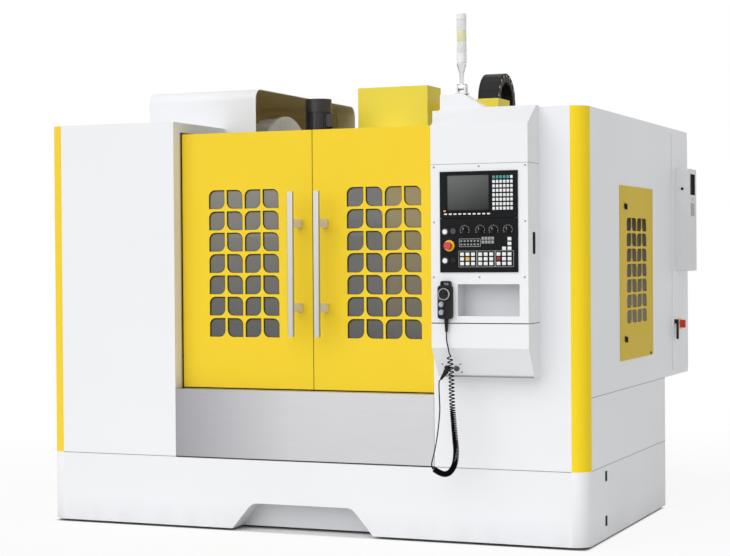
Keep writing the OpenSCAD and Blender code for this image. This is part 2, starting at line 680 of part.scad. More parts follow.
// white hood of the tool wheel, open towards the head, with its flange on the column
module magazine_cover() color("#f2f3f5") difference() {
    union() {
        plate_yz(mag_x0, mag_x1) difference() {
            translate([mag_y0, mag_z0]) rrect(mag_y1 - mag_y0, mag_z1 - mag_z0, mag_r);
            translate([mag_y0 + sheet, mag_z0 + sheet]) rrect(mag_y1 - mag_y0 - 2 * sheet, mag_z1 - mag_z0 - 2 * sheet, mag_r - sheet);
        }
        plate_yz(mag_x0, mag_x0 + sheet) translate([mag_y0, mag_z0]) rrect(mag_y1 - mag_y0, mag_z1 - mag_z0, mag_r);
        bx(mag_x1 - 1, -column_w / 2, mag_y1 - sheet, mag_y1, 1900, 2300);
    }
    bx(mag_x0 + 300, mag_x1 + 1, wheel_y - 150, wheel_y + 150, mag_z0 - 1, mag_z0 + sheet + 1);
}

// nested steel plates over the bed's ways, front and rear
module way_plate(y0, y1, z, w, lip_front) {
    bx(-w, w, y0, y1, z - 3, z);
    for (s = [-1, 1]) bx(s * w - (s > 0 ? 3 : 0), s * w + (s > 0 ? 0 : 3), y0, y1, way_top - 60, z);
    if (lip_front) bx(-w, w, y0, y0 + 3, z - 8, z);
    else bx(-w, w, y1 - 3, y1, z - 8, z);
}

cover_front0 = 306;
cover_front_n = 4;
cover_rear_n = 4;

module way_covers() color("#b7bbbf") {
    df = (saddle_y0 - cover_front0) / cover_front_n;
    for (i = [0:cover_front_n - 1])
        way_plate(cover_front0 + i * df - (i > 0 ? 20 : 0), cover_front0 + (i + 1) * df, 672 + 8.5 * i, 524 + 4 * i, true);
    dr = (column_y - 34 - saddle_y0 - saddle_d) / cover_rear_n;
    for (i = [0:cover_rear_n - 1])
        way_plate(saddle_y0 + saddle_d + i * dr, saddle_y0 + saddle_d + (i + 1) * dr + (i < cover_rear_n - 1 ? 20 : 0),
            672 + 8.5 * (cover_rear_n - 1 - i), 524 + 4 * (cover_rear_n - 1 - i), false);
}

// one link: two side plates and a stay, standing along Z from its own pin
module link(l) {
    rm = (chain_r1 + chain_r0) / 2;
    h = chain_r1 - chain_r0;
    for (x = [chain_x0, chain_x1 - 12]) difference() {
        plate_yz(x, x + 12) translate([-h / 2, 3]) rrect(h, l - 6, 14);
        rod_x([x - 1, 0, l / 2], 9, 14);
    }
    for (y = [-h / 2 + 3, h / 2 - 9]) bx(chain_x0, chain_x1, y, y + 6, l / 2 - 7, l / 2 + 7);
    rod_x([chain_x0 + 2, 0, 0], 9, chain_x1 - chain_x0 - 4);
}

// cable chain: short front leg, bend and long rear leg on the wall
module drag_chain() color("#222427") {
    rm = (chain_r1 + chain_r0) / 2;
    leg = (chain_z - chain_end) / chain_n_leg;
    step = 180 / chain_n_arc;
    arc = 2 * rm * sin(step / 2);
    for (k = [0:chain_n_leg - 1]) translate([0, chain_y + rm, chain_end + k * leg]) link(leg);
    for (k = [0:chain_n_arc - 1])
        translate([0, chain_y + rm * cos(k * step), chain_z + rm * sin(k * step)]) rotate([(k + 0.5) * step, 0, 0]) link(arc);
    translate([0, chain_y - rm, chain_z]) rotate([180, 0, 0]) link(chain_z - 2456 - 9);
    translate([0, chain_y - rm, 2465]) rod_x([chain_x0 + 2, 0, 0], 9, chain_x1 - chain_x0 - 4);
    bx(chain_x0, chain_x1, rear_y - 40, rear_y, chain_end - 26, chain_end + 4);
}

// outline of the control box in Y and Z, inset by the wall
module box_outline(t) polygon([[-t * 0, box_z0 + t], [slope_y + 24, box_z0 + t], [slope_y + t * 0.4, slope_z0 + t * 0.6],
    [box_y + t, slope_z1 + t * 0.3], [box_y + t, box_z1 - t * 0.6], [-49 + t * 0.3, enclosure_h + 6 - t], [0, enclosure_h + 6 - t]]);

// folded control box with its open front, hood and side slot
module control_box() color("#f2f3f5") difference() {
    union() {
        plate_yz(box_x0, box_x1) box_outline(0);
        translate([0, 31, 0]) rotate([90, 0, 0]) linear_extrude(80) polygon([[box_x0, enclosure_h], [box_x0, hood_z], [box_x0 + 134, hood_z],
            [box_x0 + 250, enclosure_h + 6], [box_x0 + 250, enclosure_h]]);
    }
    plate_yz(box_x0 + sheet, box_x1 - sheet) box_outline(sheet);
    bx(box_x0 + 14, box_x1 - 14, box_y - 1, box_y + sheet + 1, plate_z0 + 14, plate_z1 - 14);
    bx(box_x0 - 1, box_x1 + 1, box_y - 1, box_y + sheet * 0.5, plate_z0, plate_z1);
    plate_yz(box_x1 - sheet - 1, box_x1 + 1) translate([-122, 1569]) rrect(52, 116, 9);
    bx(box_x0 + sheet, box_x1 - sheet, -49, 0.5, enclosure_h - 20, enclosure_h + 1);
}

// plate in the box's front, with openings for the panels and the shelf pocket
module control_faceplate() color("#f0f1f3") difference() {
    py1 = box_y + sheet * 0.5;
    union() {
        bx(box_x0, box_x1, box_y, py1, plate_z0 + plate_gap, plate_z1 - plate_gap / 2);
        bx(box_x0 + 145, box_x1 - 45, box_y, box_y + pocket_d + 3, 1240, 1416);
    }
    bx(box_x0 + 149, box_x1 - 49, box_y - 1, box_y + pocket_d, 1244, 1412);
    bx(panel_x0 + 12, panel_x1 - 12, box_y - 1, box_y + 20, panel_z0 + 12, panel_z1 - 12);
}

// keyed block of caps: columns and rows from a low corner
module caps(x, z, nx, nz, px, pz, w, h) for (i = [0:nx - 1], k = [0:nz - 1])
    bx(x + i * px, x + i * px + w, panel_y - 3, panel_y + 1, z + k * pz, z + k * pz + h);

// display and keyboard unit
module display_unit() color("#1e2022") {
    difference() {
        union() {
            bx(panel_x0, panel_x1, panel_y, box_y, panel_zm + 1, panel_z1);
            bx(panel_x0 + 14, panel_x1 - 14, box_y - 1, box_y + 60, panel_zm + 14, panel_z1 - 14);
        }
        bx(panel_x0 + 42, panel_x0 + 274, panel_y - 1, panel_y + 3, 1803, 1988);
    }
    caps(panel_x0 + 295.5, 1802.5, 6, 8, 19.6, 23.4, 13, 15);
    caps(panel_x0 + 24, 1776, 10, 1, 26.6, 20, 20, 14);
}

// operator's panel with keys, rings and holes for the buttons
module operator_panel() color("#1e2022") {
    difference() {
        union() {
            bx(panel_x0, panel_x1, panel_y, box_y, panel_z0, panel_zm - 1);
            bx(panel_x0 + 14, panel_x1 - 14, box_y - 1, box_y + 50, panel_z0 + 14, panel_zm - 14);
            rod_y([panel_x0 + 52, panel_y - 3, 1616], 30, 4);
            for (z = [1537, 1690]) rod_y([panel_x0 + 30, panel_y - 4, z], 18, 5);
            rod_y([panel_x0 + 76, panel_y - 6, 1693], 14, 7);
            rod_y([panel_x0 + 77, panel_y - 7, 1536], 13, 8);
        }
        rod_y([panel_x0 + 52, panel_y - 4, 1616], 11.3, 24);
        for (z = [1537, 1690]) rod_y([panel_x0 + 30, panel_y - 5, z], 13.2, 24);
    }
    for (g = [0:2]) caps(panel_x0 + 114.5 + g * 101, 1512.5, 3, 3, 30.5, 24.6, 20, 17);
    caps(panel_x0 + 377.5, 1591.5, 1, 3, 30, 25, 20, 17);
    caps(panel_x0 + 347.5, 1591.5, 1, 1, 30, 25, 20, 17);
    caps(panel_x0 + 116, 1618, 6, 2, 18.5, 18, 10, 8);
    caps(panel_x0 + 234, 1626, 4, 2, 18, 20, 14, 15);
}

// mushroom head on its stem
module estop() color("#c3231f") {
    rod_y([panel_x0 + 52, panel_y - 34, 1616], 20, 20);
    rod_y([panel_x0 + 52, panel_y - 15, 1616], 11, 20);
}

// flush push button in its ring
module push(z) rod_y([panel_x0 + 30, panel_y - 9, z], 13, 15);

module start_button() color("#e8e9ea") push(1690);

module hold_button() color("#e8e9ea") push(1537);

// selector knob with a grip bar, pointing up
module knob(x, z) {
    rod_y([x, panel_y - 6, z], 17, 6 - run_gap);
    rod_y([x, panel_y - 20, z], 11, 15);
    bx(x - 4, x + 4, panel_y - 24, panel_y - 5, z - 11, z + 15);
}

module mode_knob() color("#33363a") knob(panel_x0 + 139, 1698);

module feed_knob() color("#33363a") knob(panel_x0 + 225, 1698);

module spindle_knob() color("#33363a") knob(panel_x0 + 299, 1698);

module rapid_knob() color("#33363a") knob(panel_x0 + 378, 1698);

// hand pulse pendant with its hook loop and cord sleeve
module pendant_body() color("#232528") difference() {
    union() {
        plate_xz(pend_y, box_y) translate([pend_x0, pend_z0]) rrect(pend_w, pend_h, 16);
        plate_xz(pend_y + 6, box_y - 6) translate([pend_x0 + 14, pend_z0 + pend_h - 20]) rrect(56, 44, 10);
        translate([sleeve_x, cord_y, 1160]) cylinder(r1 = 7, r2 = 12, h = 70);
        rod_y([pend_x0 + 9, pend_y - 4, pend_z0 + 103], 5.5, 5);
    }
    plate_xz(pend_y - 1, box_y + 1) translate([pend_x0 + 24, pend_z0 + pend_h + 2]) rrect(36, 13, 6);
    rod_z([sleeve_x, cord_y, 1159], cord_r + run_gap, 20);
}

module pendant_dial() color("#2f3236") {
    rod_y([dial_x, pend_y - 12, dial_z], 31, 12 - run_gap);
    rod_y([dial_x, pend_y - 16, dial_z], 24, 5);
    rod_y([dial_x + 14, pend_front, dial_z + 10], 5, 11);
}

module pendant_knob(x, z) {
    rod_y([x, pend_y - 8, z], 15, 8 - run_gap);
    rod_y([x, pend_y - 18, z], 12.5, 11);
    bx(x - 1.5, x + 1.5, pend_y - 19, pend_y - 4, z + 2, z + 12);
}

module pendant_axis_knob() color("#c9ced6") pendant_knob(pend_x0 + 24, pend_z0 + 77);

module pendant_step_knob() color("#c9ced6") pendant_knob(pend_x0 + 24, pend_z0 + 35);

// the pendant's cord: straight ends, curl and the plug on the slope
cord_r = 3.2;
cord_y = box_y - pend_t / 2;
cord_x0 = box_x0 + 34;                      // datum of the cord's points
cord_top = [[sleeve_x, cord_y, 1178], [sleeve_x, cord_y, 1160], [sleeve_x, cord_y, 1142], [cord_x0 + 58, cord_y, 1110],
    [cord_x0 + 67, cord_y, 1066], [cord_x0 + 72, cord_y, 1040], [cord_x0 + 73.9, cord_y, 1020.7]];
curl_path = [[cord_x0 + 74, cord_y, 1020], [cord_x0 + 82, cord_y, 940], [cord_x0 + 84, cord_y, 840], [cord_x0 + 87, cord_y, 760],
    [cord_x0 + 95, cord_y, 660], [cord_x0 + 101, cord_y, 590], [cord_x0 + 106, cord_y, 530], [cord_x0 + 98, cord_y, 462],
    [cord_x0 + 72, cord_y, 418], [cord_x0 + 42, cord_y, 405], [cord_x0 + 12, cord_y, 412], [cord_x0 - 20, cord_y, 432]];
gland_x = cord_x0 + 57;
gland_z = 965;
plug_off = 26;                              // plug and socket beside the flange's middle
slope_a = atan2(slope_z1 - slope_z0, slope_y - box_y);
gland_n = [0, -sin(slope_a), -cos(slope_a)];
gland_p = [gland_x, slope_y + (box_y - slope_y) * (gland_z - slope_z0) / (slope_z1 - slope_z0), gland_z] + run_gap * gland_n;
boot_p = gland_p + [-plug_off, 0, 0] + 42 * gland_n;
boot_d = unit([-25, -14, -42]);
boot_l = 46;
cord_return = [[cord_x0 - 21.3, cord_y, 432.8], [cord_x0 - 30, cord_y - 1, 444], [cord_x0 - 30, cord_y - 3, 462], [cord_x0 - 23, cord_y - 5, 490],
    [cord_x0 - 15, cord_y - 6, 520], [cord_x0 - 4, cord_y - 6, 570], [cord_x0 + 8, cord_y - 4, 650], [cord_x0 + 16, cord_y - 2, 740],
    [cord_x0 + 13, cord_y + 3, 800], [cord_x0 + 8, cord_y + 12, 846], boot_p + (boot_l + 16) * boot_d, boot_p + boot_l * boot_d, boot_p + (boot_l - 10) * boot_d];

// smooth line through points, n steps to a span
function smooth(p, n) = let (m = len(p)) [for (i = [0:m - 2], k = [0:n - 1])
    let (t = k / n, a = p[max(i - 1, 0)], b = p[i], c = p[i + 1], d = p[min(i + 2, m - 1)])
        (2 * b + (c - a) * t + (2 * a - 5 * b + 4 * c - d) * t * t + (3 * b - a - 3 * c + d) * t * t * t) / 2, p[m - 1]];

module cord_lead() color("#1b1c1e") {
    tube(smooth(cord_top, 2), cord_r);
    tube(smooth(cord_return, 3), cord_r);
}

module cord_curl() color("#1b1c1e") tube(smooth(curl_path, 2), 16.5);

// flange on the slope with the cord's bent plug and a spare socket
module cord_gland() color("#2a2c2f") {
    translate(gland_p) rotate([180 - slope_a, 0, 0]) {
        translate([-57, -33, 0]) linear_extrude(2.5) rrect(114, 66, 6);
        translate([-plug_off, 0, 0]) rotate_extrude() polygon([[0, 0], [17, 0], [17, 9], [13.5, 12], [13.5, 42], [0, 42]]);
        translate([plug_off, 0, 0]) rotate_extrude() polygon([[0, 0], [15, 0], [15, 6], [12, 9], [12, 16], [9, 18], [0, 18]]);
    }
    translate(boot_p) sphere(r = 14.2);
    difference() {
        along(boot_p, boot_d) cylinder(r1 = 12.5, r2 = 6, h = boot_l);
        along(boot_p + (boot_l - 14) * boot_d, boot_d) cylinder(r = cord_r + run_gap, h = 20);
    }
}

// leaf of the electrical cabinet with the isolator's plate
module cabinet_door() color("#eceef0") {
    bx(leaf_x, leaf_x + sheet, cdoor_y0, cdoor_y1, cdoor_z0, cdoor_z1);
    bx(leaf_x + sheet - 1, leaf_x + sheet + 8, iso_y - 34, iso_y + 34, iso_z - 34, iso_z + 34);
    bx(leaf_x + sheet - 1, leaf_x + sheet + 4, handle_py - 17, handle_py + 17, handle_pz - 122, handle_pz + 26);
}

// cooling unit with its slanted louvre, display and plate
module air_conditioner() color("#d9dbdd") {
    x1 = leaf_x + sheet + cooler_d;
    y0 = cool_y0 + cool_edge;
    y1 = cool_y0 + cool_w - cool_edge;
    z0 = cool_z0 + cool_h - 32 - louvre_h;
    difference() {
        plate_yz(leaf_x + sheet, x1) translate([cool_y0, cool_z0]) rrect(cool_w, cool_h, 8);
        bx(x1 - louvre_d, x1 + 1, y0, y1, z0, z0 + louvre_h);
        bx(x1 - 2, x1 + 1, y0 + 37, y1 - 37, z0 - 40, z0 - 12);
        bx(x1 - 3, x1 + 1, y0 + 12, y1 - 12, z0 - 132, z0 - 52);
    }
    for (k = [0:fin_n - 1]) plate_xz(y0 - 1, y1 + 1) translate([x1 - louvre_d, z0 + (k + 0.5) * louvre_h / fin_n])
        polygon([[-1, 1], [louvre_d - 4, -4], [louvre_d - 4, -2], [-1, 3]]);
}

// lever on its spindle
module cabinet_handle() color("#1d1f21") {
    x0 = leaf_x + sheet + 4 + run_gap;
    rod_x([x0, handle_py, handle_pz], 14, 24);
    plate_yz(x0 + 12, x0 + 24) translate([handle_py - 12, handle_pz - 111]) rrect(24, 124, 11);
}

module isolator_knob() color("#c5241f") {
    x0 = leaf_x + sheet + 8 + run_gap;
    rod_x([x0, iso_y, iso_z], 26, 12);
    bx(x0 + 11, x0 + 32, iso_y - 7, iso_y + 7, iso_z - 25, iso_z + 25);
}

// hinged vent leaf with its grille
module vent_door() color("#e9cc3a") difference() {
    bx(leaf_x, leaf_x + sheet, vent_y0, vent_y1, vent_z0, vent_z1);
    plate_yz(leaf_x - 1, leaf_x + sheet + 1) translate([833, 1170]) leaves(106, 75, 13, 30);
}

// foot and ears of the signal tower
module tower_base() color("#2b2d30") difference() {
    union() {
        bx(tower_x - 32, tower_x + 32, tower_y - 26, tower_y + 26, hood_z, hood_z + 8);
        for (s = [-1, 1]) {
            bx(tower_x + s * 22 - 5, tower_x + s * 22 + 5, tower_y - 18, tower_y + 18, hood_z + 7, tower_pz);
            rod_x([tower_x + s * 22 - 5, tower_y, tower_pz], 18, 10);
        }
    }
    rod_x([tower_x - 40, tower_y, tower_pz], 7 + bore_gap, 80);
}

// folding pole with the lamp stack
module tower_light() color("#c7322b") {
    rod_x([tower_x - 16.5, tower_y, tower_pz], 16, 33);
    rod_x([tower_x - 27, tower_y, tower_pz], 7, 54);
    rod_z([tower_x, tower_y, tower_pz + 10], 12, 72);
    translate([tower_x, tower_y, tower_pz + 76]) cylinder(r1 = 13, r2 = 27, h = 46);
    rod_z([tower_x, tower_y, tower_pz + 121], 27, 60);
    rod_z([tower_x, tower_y, tower_pz + 180], 23.5, tower_h - 212);
    for (k = [0:2]) rod_z([tower_x, tower_y, tower_pz + 184 + k * tier_h], 26.6, tier_h - 3);
    rod_z([tower_x, tower_y, tower_top - 33], 27, 21);
    translate([tower_x, tower_y, tower_top - 13]) cylinder(r1 = 27, r2 = 20, h = 13);
}

at_origin() bed_casting();
at_origin() column_casting();
at_origin() levelling_feet();
at_origin() coolant_tray();
at_origin() left_front_cover();
at_origin() left_side_cover();
at_origin() right_front_cover();
at_origin() right_side_cover();
at_origin() corner_trims();
at_origin() electrical_cabinet();
at_origin() front_apron();
at_origin() door_rail();
at_origin() control_box();
at_origin() control_faceplate();
at_origin() display_unit();
at_origin() operator_panel();
at_origin() tower_base();
at_origin() magazine_cover();
at_origin() cam_box();
at_origin() exchange_motor();
at_origin() servo_motors();
at_origin() way_covers();
at_origin() drag_chain();
at_origin() left_door();
at_origin() left_window();
at_origin() left_handle();
at_origin() right_door();
at_origin() right_window();
at_origin() right_handle();
at_origin() saddle();
at_origin() table();
at_origin() x_screw();
at_origin() y_screw();
at_origin() z_screw();
at_origin() spindle_head();
at_origin() head_cover();
at_origin() spindle_motor();
at_origin() spindle();
at_origin() magazine_wheel();
at_origin() exchange_arm();
at_origin() cabinet_door();
at_origin() air_conditioner();
at_origin() cabinet_handle();
at_origin() isolator_knob();
at_origin() vent_door();
at_origin() tower_light();
at_origin() estop();
at_origin() mode_knob();
at_origin() feed_knob();
at_origin() spindle_knob();
at_origin() rapid_knob();
at_origin() start_button();
at_origin() hold_button();
at_origin() pendant_body();
at_origin() pendant_dial();
at_origin() pendant_axis_knob();
at_origin() pendant_step_knob();
at_origin() cord_lead();
at_origin() cord_curl();
at_origin() cord_gland();
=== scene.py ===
import json
import math

import bmesh
import bpy
from mathutils import Matrix, Vector

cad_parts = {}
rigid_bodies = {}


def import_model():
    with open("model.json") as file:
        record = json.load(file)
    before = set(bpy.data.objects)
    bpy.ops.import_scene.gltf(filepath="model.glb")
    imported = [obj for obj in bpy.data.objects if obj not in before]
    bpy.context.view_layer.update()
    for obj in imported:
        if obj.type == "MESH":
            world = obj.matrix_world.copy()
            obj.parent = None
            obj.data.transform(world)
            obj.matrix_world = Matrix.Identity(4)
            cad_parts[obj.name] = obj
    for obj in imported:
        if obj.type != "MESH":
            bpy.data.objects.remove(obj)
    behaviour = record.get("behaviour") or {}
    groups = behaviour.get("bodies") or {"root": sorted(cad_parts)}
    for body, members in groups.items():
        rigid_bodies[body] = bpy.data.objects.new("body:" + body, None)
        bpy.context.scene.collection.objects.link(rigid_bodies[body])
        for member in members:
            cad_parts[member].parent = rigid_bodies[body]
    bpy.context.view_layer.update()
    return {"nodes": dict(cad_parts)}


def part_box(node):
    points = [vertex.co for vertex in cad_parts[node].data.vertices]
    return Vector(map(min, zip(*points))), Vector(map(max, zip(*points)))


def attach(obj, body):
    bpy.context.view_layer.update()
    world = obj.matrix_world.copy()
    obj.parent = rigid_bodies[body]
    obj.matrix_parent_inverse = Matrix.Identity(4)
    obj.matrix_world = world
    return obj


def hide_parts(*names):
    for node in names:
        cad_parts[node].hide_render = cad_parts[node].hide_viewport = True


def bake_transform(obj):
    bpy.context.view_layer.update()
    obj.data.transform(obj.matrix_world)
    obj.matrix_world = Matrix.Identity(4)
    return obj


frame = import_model()
cad = frame["nodes"]
trimLow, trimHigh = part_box("corner_trims")
zeroX = (trimLow.x + trimHigh.x) / 2       # the machine's centre line
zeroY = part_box("front_apron")[0].y         # its front face
mm = 0.001
forward, toRight, upward = (0, -1, 0), (1, 0, 0), (0, 0, 1)


def at(x, y, z):
    return Vector((zeroX + x * mm, zeroY + y * mm, z * mm))


print("frame loaded:", len(cad), "nodes")


# wraps a socket, so that shader and layout maths read as plain expressions
class Sock:
    def __init__(self, graph, socket):
        self.graph = graph
        self.socket = socket

    def maths(self, operation, *values):
        return self.graph.add("ShaderNodeMath", {"operation": operation}, dict(enumerate(values)))

    def __add__(self, other):
        return self.maths("ADD", self, other)

    def __sub__(self, other):
        return self.maths("SUBTRACT", self, other)

    def __rsub__(self, other):
        return self.maths("SUBTRACT", other, self)

    def __mul__(self, other):
        return self.maths("MULTIPLY", self, other)

    def __truediv__(self, other):
        return self.maths("DIVIDE", self, other)

    __radd__ = __add__
    __rmul__ = __mul__

    def sine(self):
        return self.maths("SINE", self)

    def cosine(self):
        return self.maths("COSINE", self)

    def limited(self):
        return self.maths("MINIMUM", self.maths("MAXIMUM", self, 0.0), 1.0)


class Graph:
    def __init__(self, tree):
        self.tree = tree

    def feed(self, slot, value):
        if isinstance(value, Sock):
            self.tree.links.new(value.socket, slot)
        else:
            slot.default_value = value

    def add(self, kind, settings=None, inputs=None, out=0):
        made = self.tree.nodes.new(kind)
        for key, value in (settings or {}).items():
            setattr(made, key, value)
        for key, value in (inputs or {}).items():
            self.feed(made.inputs[key], value)
        return Sock(self, made.outputs[out])


# one material: a shader with object coordinates
class Finish(Graph):
    def __init__(self, name, fixed=None):
        self.material = bpy.data.materials.new(name)
        self.material.use_nodes = True
        super().__init__(self.material.node_tree)
        self.tree.nodes.clear()
        self.shader = self.tree.nodes.new("ShaderNodeBsdfPrincipled")
        self.surface = self.tree.nodes.new("ShaderNodeOutputMaterial")
        self.tree.links.new(self.shader.outputs[0], self.surface.inputs["Surface"])
        self.place = self.add("ShaderNodeTexCoord", out="Object")
        for key, value in (fixed or {}).items():
            self.shader.inputs[key].default_value = value

    def set(self, name, value):
        self.feed(self.shader.inputs[name], value)

    def axis(self, name):
        return self.add("ShaderNodeSeparateXYZ", inputs={0: self.place}, out=name)

    def share(self, axis, node):
        # how far along a node's box, from 0 to 1
        low, high = (getattr(corner, axis.lower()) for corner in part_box(node))
        return (self.axis(axis) - low) / (high - low)

    def noise(self, scale, detail=2.0, stretch=(1, 1, 1)):
        spread = self.add("ShaderNodeMapping", inputs={"Vector": self.place, "Scale": stretch})
        return self.add("ShaderNodeTexNoise", inputs={"Vector": spread, "Scale": scale, "Detail": detail})

    def mix(self, amount, first, second):
        return self.add("ShaderNodeMix", {"data_type": "RGBA"}, {0: amount, 6: first, 7: second}, out=2)

    def bump(self, height, distance):
        raised = {"Height": height, "Distance": distance, "Strength": 1.0}
        self.set("Normal", self.add("ShaderNodeBump", inputs=raised))


def paint(red, green, blue):
    # a colour as it is read off a screen, made linear
    def linear(value):
        share = value / 255
        return share / 12.92 if share <= 0.04045 else ((share + 0.055) / 1.055) ** 2.4
    return (linear(red), linear(green), linear(blue), 1.0)


def shade(colour, amount):
    return tuple(channel * amount for channel in colour[:3]) + (1.0,)


coatLook = {"cloudScale": 1.3, "cloudDepth": 0.05, "peelScale": 620.0, "peelDepth": 0.00010,
            "peelSheen": 0.10, "smearScale": 9.0, "smearRun": (1, 1, 0.35), "smearSheen": 0.16,
            "dustHeight": 0.16, "dustShown": 0.55, "dustShade": 0.62}


def powderCoat(name, colour, rough, dusty=False, index=1.5):
    look = coatLook
    coat = Finish(name, {"IOR": index})
    cloud = coat.noise(look["cloudScale"], 3)
    peel = coat.noise(look["peelScale"], 3)
    smear = coat.noise(look["smearScale"], 5, look["smearRun"])
    tone = coat.mix(cloud, shade(colour, 1 - look["cloudDepth"]), colour)
    if dusty:
        dust = (1 - coat.axis("Z") / look["dustHeight"]).limited() * smear * look["dustShown"]
        tone = coat.mix(dust, tone, shade(colour, look["dustShade"]))
    coat.set("Base Color", tone)
    coat.set("Roughness", rough + (smear - 0.5) * look["smearSheen"] + (peel - 0.5) * look["peelSheen"])
    coat.bump(peel, look["peelDepth"])
    return coat.material


steelLook = {"grain": 260.0, "depth": 0.00006, "run": 0.02, "drift": 1.1, "dark": 0.80, "bright": 1.08,
             "grainShare": 0.6, "driftShare": 0.4, "grainSheen": 0.22, "driftSheen": 0.12, "shadeOver": 2.2}


def brushedSteel(name, colour, along, rough=0.30, shadedLeft=None):
    # along: the axis that the brush ran on; the last argument: the colour of a painted shade at the apron's
    # left end
    look = steelLook
    stretch = tuple(look["run"] if axis == along else 1.0 for axis in "XYZ")
    steel = Finish(name, {"Metallic": 1.0})
    grain = steel.noise(look["grain"], 4, stretch)
    drift = steel.noise(look["drift"], 2)
    wear = grain * look["grainShare"] + drift * look["driftShare"]
    tone = steel.mix(wear, shade(colour, look["dark"]), shade(colour, look["bright"]))
    # painted shade: the apron darker towards its left end
    if shadedLeft:
        across = (steel.share("X", "front_apron") * look["shadeOver"]).limited()
        shadedTone = steel.mix(wear, shade(shadedLeft, look["dark"]), shade(shadedLeft, look["bright"]))
        tone = steel.mix(across, shadedTone, tone)
    steel.set("Base Color", tone)
    steel.set("Roughness", rough + (grain - 0.5) * look["grainSheen"] + (drift - 0.5) * look["driftSheen"])
    steel.bump(grain, look["depth"])
    return steel.material


# a grain that is felt and a cloud in the colour; both change the sheen
def grained(name, look, colour, rough, fixed=None):
    made = Finish(name, fixed)
    grain = made.noise(*look["grain"])
    cloud = made.noise(*look["cloud"])
    dark, bright = (shade(colour, amount) for amount in look["tones"])
    made.set("Base Color", made.mix(cloud, dark, bright))
    made.set("Roughness", rough + (cloud - 0.5) * look["cloudSheen"] + (grain - 0.5) * look["grainSheen"])
    made.bump(grain, look["depth"])
    return made.material


castLook = {"grain": (85.0, 4), "cloud": (3.0, 5), "tones": (0.86, 1.06), "cloudSheen": 0.0,
            "grainSheen": 0.2, "depth": 0.0007}
plasticLook = {"grain": (900.0, 2), "cloud": (24.0, 4), "tones": (0.84, 1.10), "cloudSheen": 0.18,
               "grainSheen": 0.08, "depth": 0.00008}
groundLook = {"grain": (420.0, 3, (0.03, 1, 1)), "cloud": (5.0, 4), "tones": (0.85, 1.0), "cloudSheen": 0.24,
              "grainSheen": 0.1, "depth": 0.00003}


def castPaint(name, colour, rough=0.55):
    return grained(name, castLook, colour, rough)


def mouldedPlastic(name, colour, rough=0.45, gloss=0.5):
    return grained(name, plasticLook, colour, rough, {"Specular IOR Level": gloss})


def groundSteel(name, colour, rough=0.22):
    return grained(name, groundLook, colour, rough, {"Metallic": 1.0})


glassLook = {"top": paint(138, 134, 122), "foot": paint(82, 83, 83), "warmReflection": paint(150, 128, 40),
             "dark": paint(84, 86, 84), "edge": 12, "outerFrom": 6, "innerFrom": -1, "film": 3.2,
             "streak": 7.0, "streakRun": (1, 1, 0.18), "dirt": 0.6, "rough": 0.10, "filmSheen": 0.12,
             "seeThrough": 0.22, "leastClear": 0.6, "filmClear": 0.6}


def smokedGlass(name):
    look = glassLook
    glass = Finish(name, {"IOR": 1.5, "Coat Weight": 0.4, "Coat Roughness": 0.03})
    film = glass.noise(look["film"], 4)
    streak = glass.noise(look["streak"], 3, look["streakRun"])
    # darker towards its foot and on the right door's inner half, a painted shade; warmer on that door's outer
    # half, a painted reflection
    up = glass.share("Z", "right_window").limited()
    across = glass.share("X", "right_window") * look["edge"]
    outer = (across - look["outerFrom"]).limited()
    inner = (across - look["innerFrom"]).limited() * (1 - outer)
    tone = glass.mix(up, look["foot"], look["top"])
    tone = glass.mix(inner * up, tone, look["dark"])
    tone = glass.mix(outer * up, tone, look["warmReflection"])
    dirt = film * 0.5 + streak * 0.5
    soiled = glass.mix(0.5, tone, look["foot"])
    glass.set("Base Color", glass.mix(dirt * look["dirt"], tone, soiled))
    glass.set("Roughness", look["rough"] + film * look["filmSheen"])
    glass.set("Alpha", 1 - look["seeThrough"] * (look["leastClear"] + film * look["filmClear"]))
    return glass.material


screenLook = {"dark": paint(26, 27, 28), "pale": paint(104, 105, 105), "haze": 14.0, "left": 0.6, "up": 0.7,
              "from": 0.35, "hazeShare": 0.1, "rough": 0.45, "hazeSheen": 0.10}


def screenGlass(name):
    # a switched-off display, paler to the upper left: a painted reflection
    look = screenLook
    screen = Finish(name, {"Specular IOR Level": 0.3})
    across = screen.share("X", "display_unit")
    up = screen.share("Z", "display_unit")
    haze = screen.noise(look["haze"], 3)
    pale = (1 - across) * look["left"] + up * look["up"] - look["from"] + haze * look["hazeShare"]
    screen.set("Base Color", screen.mix(pale.limited(), look["dark"], look["pale"]))
    screen.set("Roughness", look["rough"] + haze * look["hazeSheen"])
    return screen.material


lensLook = {"cloud": 60.0, "dark": 0.9, "rough": 0.12, "sheen": 0.10}


def lampLens(name, colour):
    look = lensLook
    lens = Finish(name, {"IOR": 1.49, "Transmission Weight": 0.12})
    cloud = lens.noise(look["cloud"], 2)
    lens.set("Base Color", lens.mix(cloud, shade(colour, look["dark"]), colour))
    lens.set("Roughness", look["rough"] + cloud * look["sheen"])
    return lens.material


sheathLook = {"grain": 500.0, "depth": 0.0001, "dark": paint(5, 5, 6), "pale": paint(12, 12, 14),
              "rough": 0.50, "sheen": 0.2}


def cordSheath(name):
    look = sheathLook
    sheath = Finish(name, {"Specular IOR Level": 0.03})
    grain = sheath.noise(look["grain"], 3)
    sheath.set("Base Color", sheath.mix(grain, look["dark"], look["pale"]))
    sheath.set("Roughness", look["rough"] + (grain - 0.5) * look["sheen"])
    sheath.bump(grain, look["depth"])
    return sheath.material


filterLook = {"tuft": 120.0, "depth": 0.0004, "dark": 0.85, "over": 1.5, "from": 0.35}


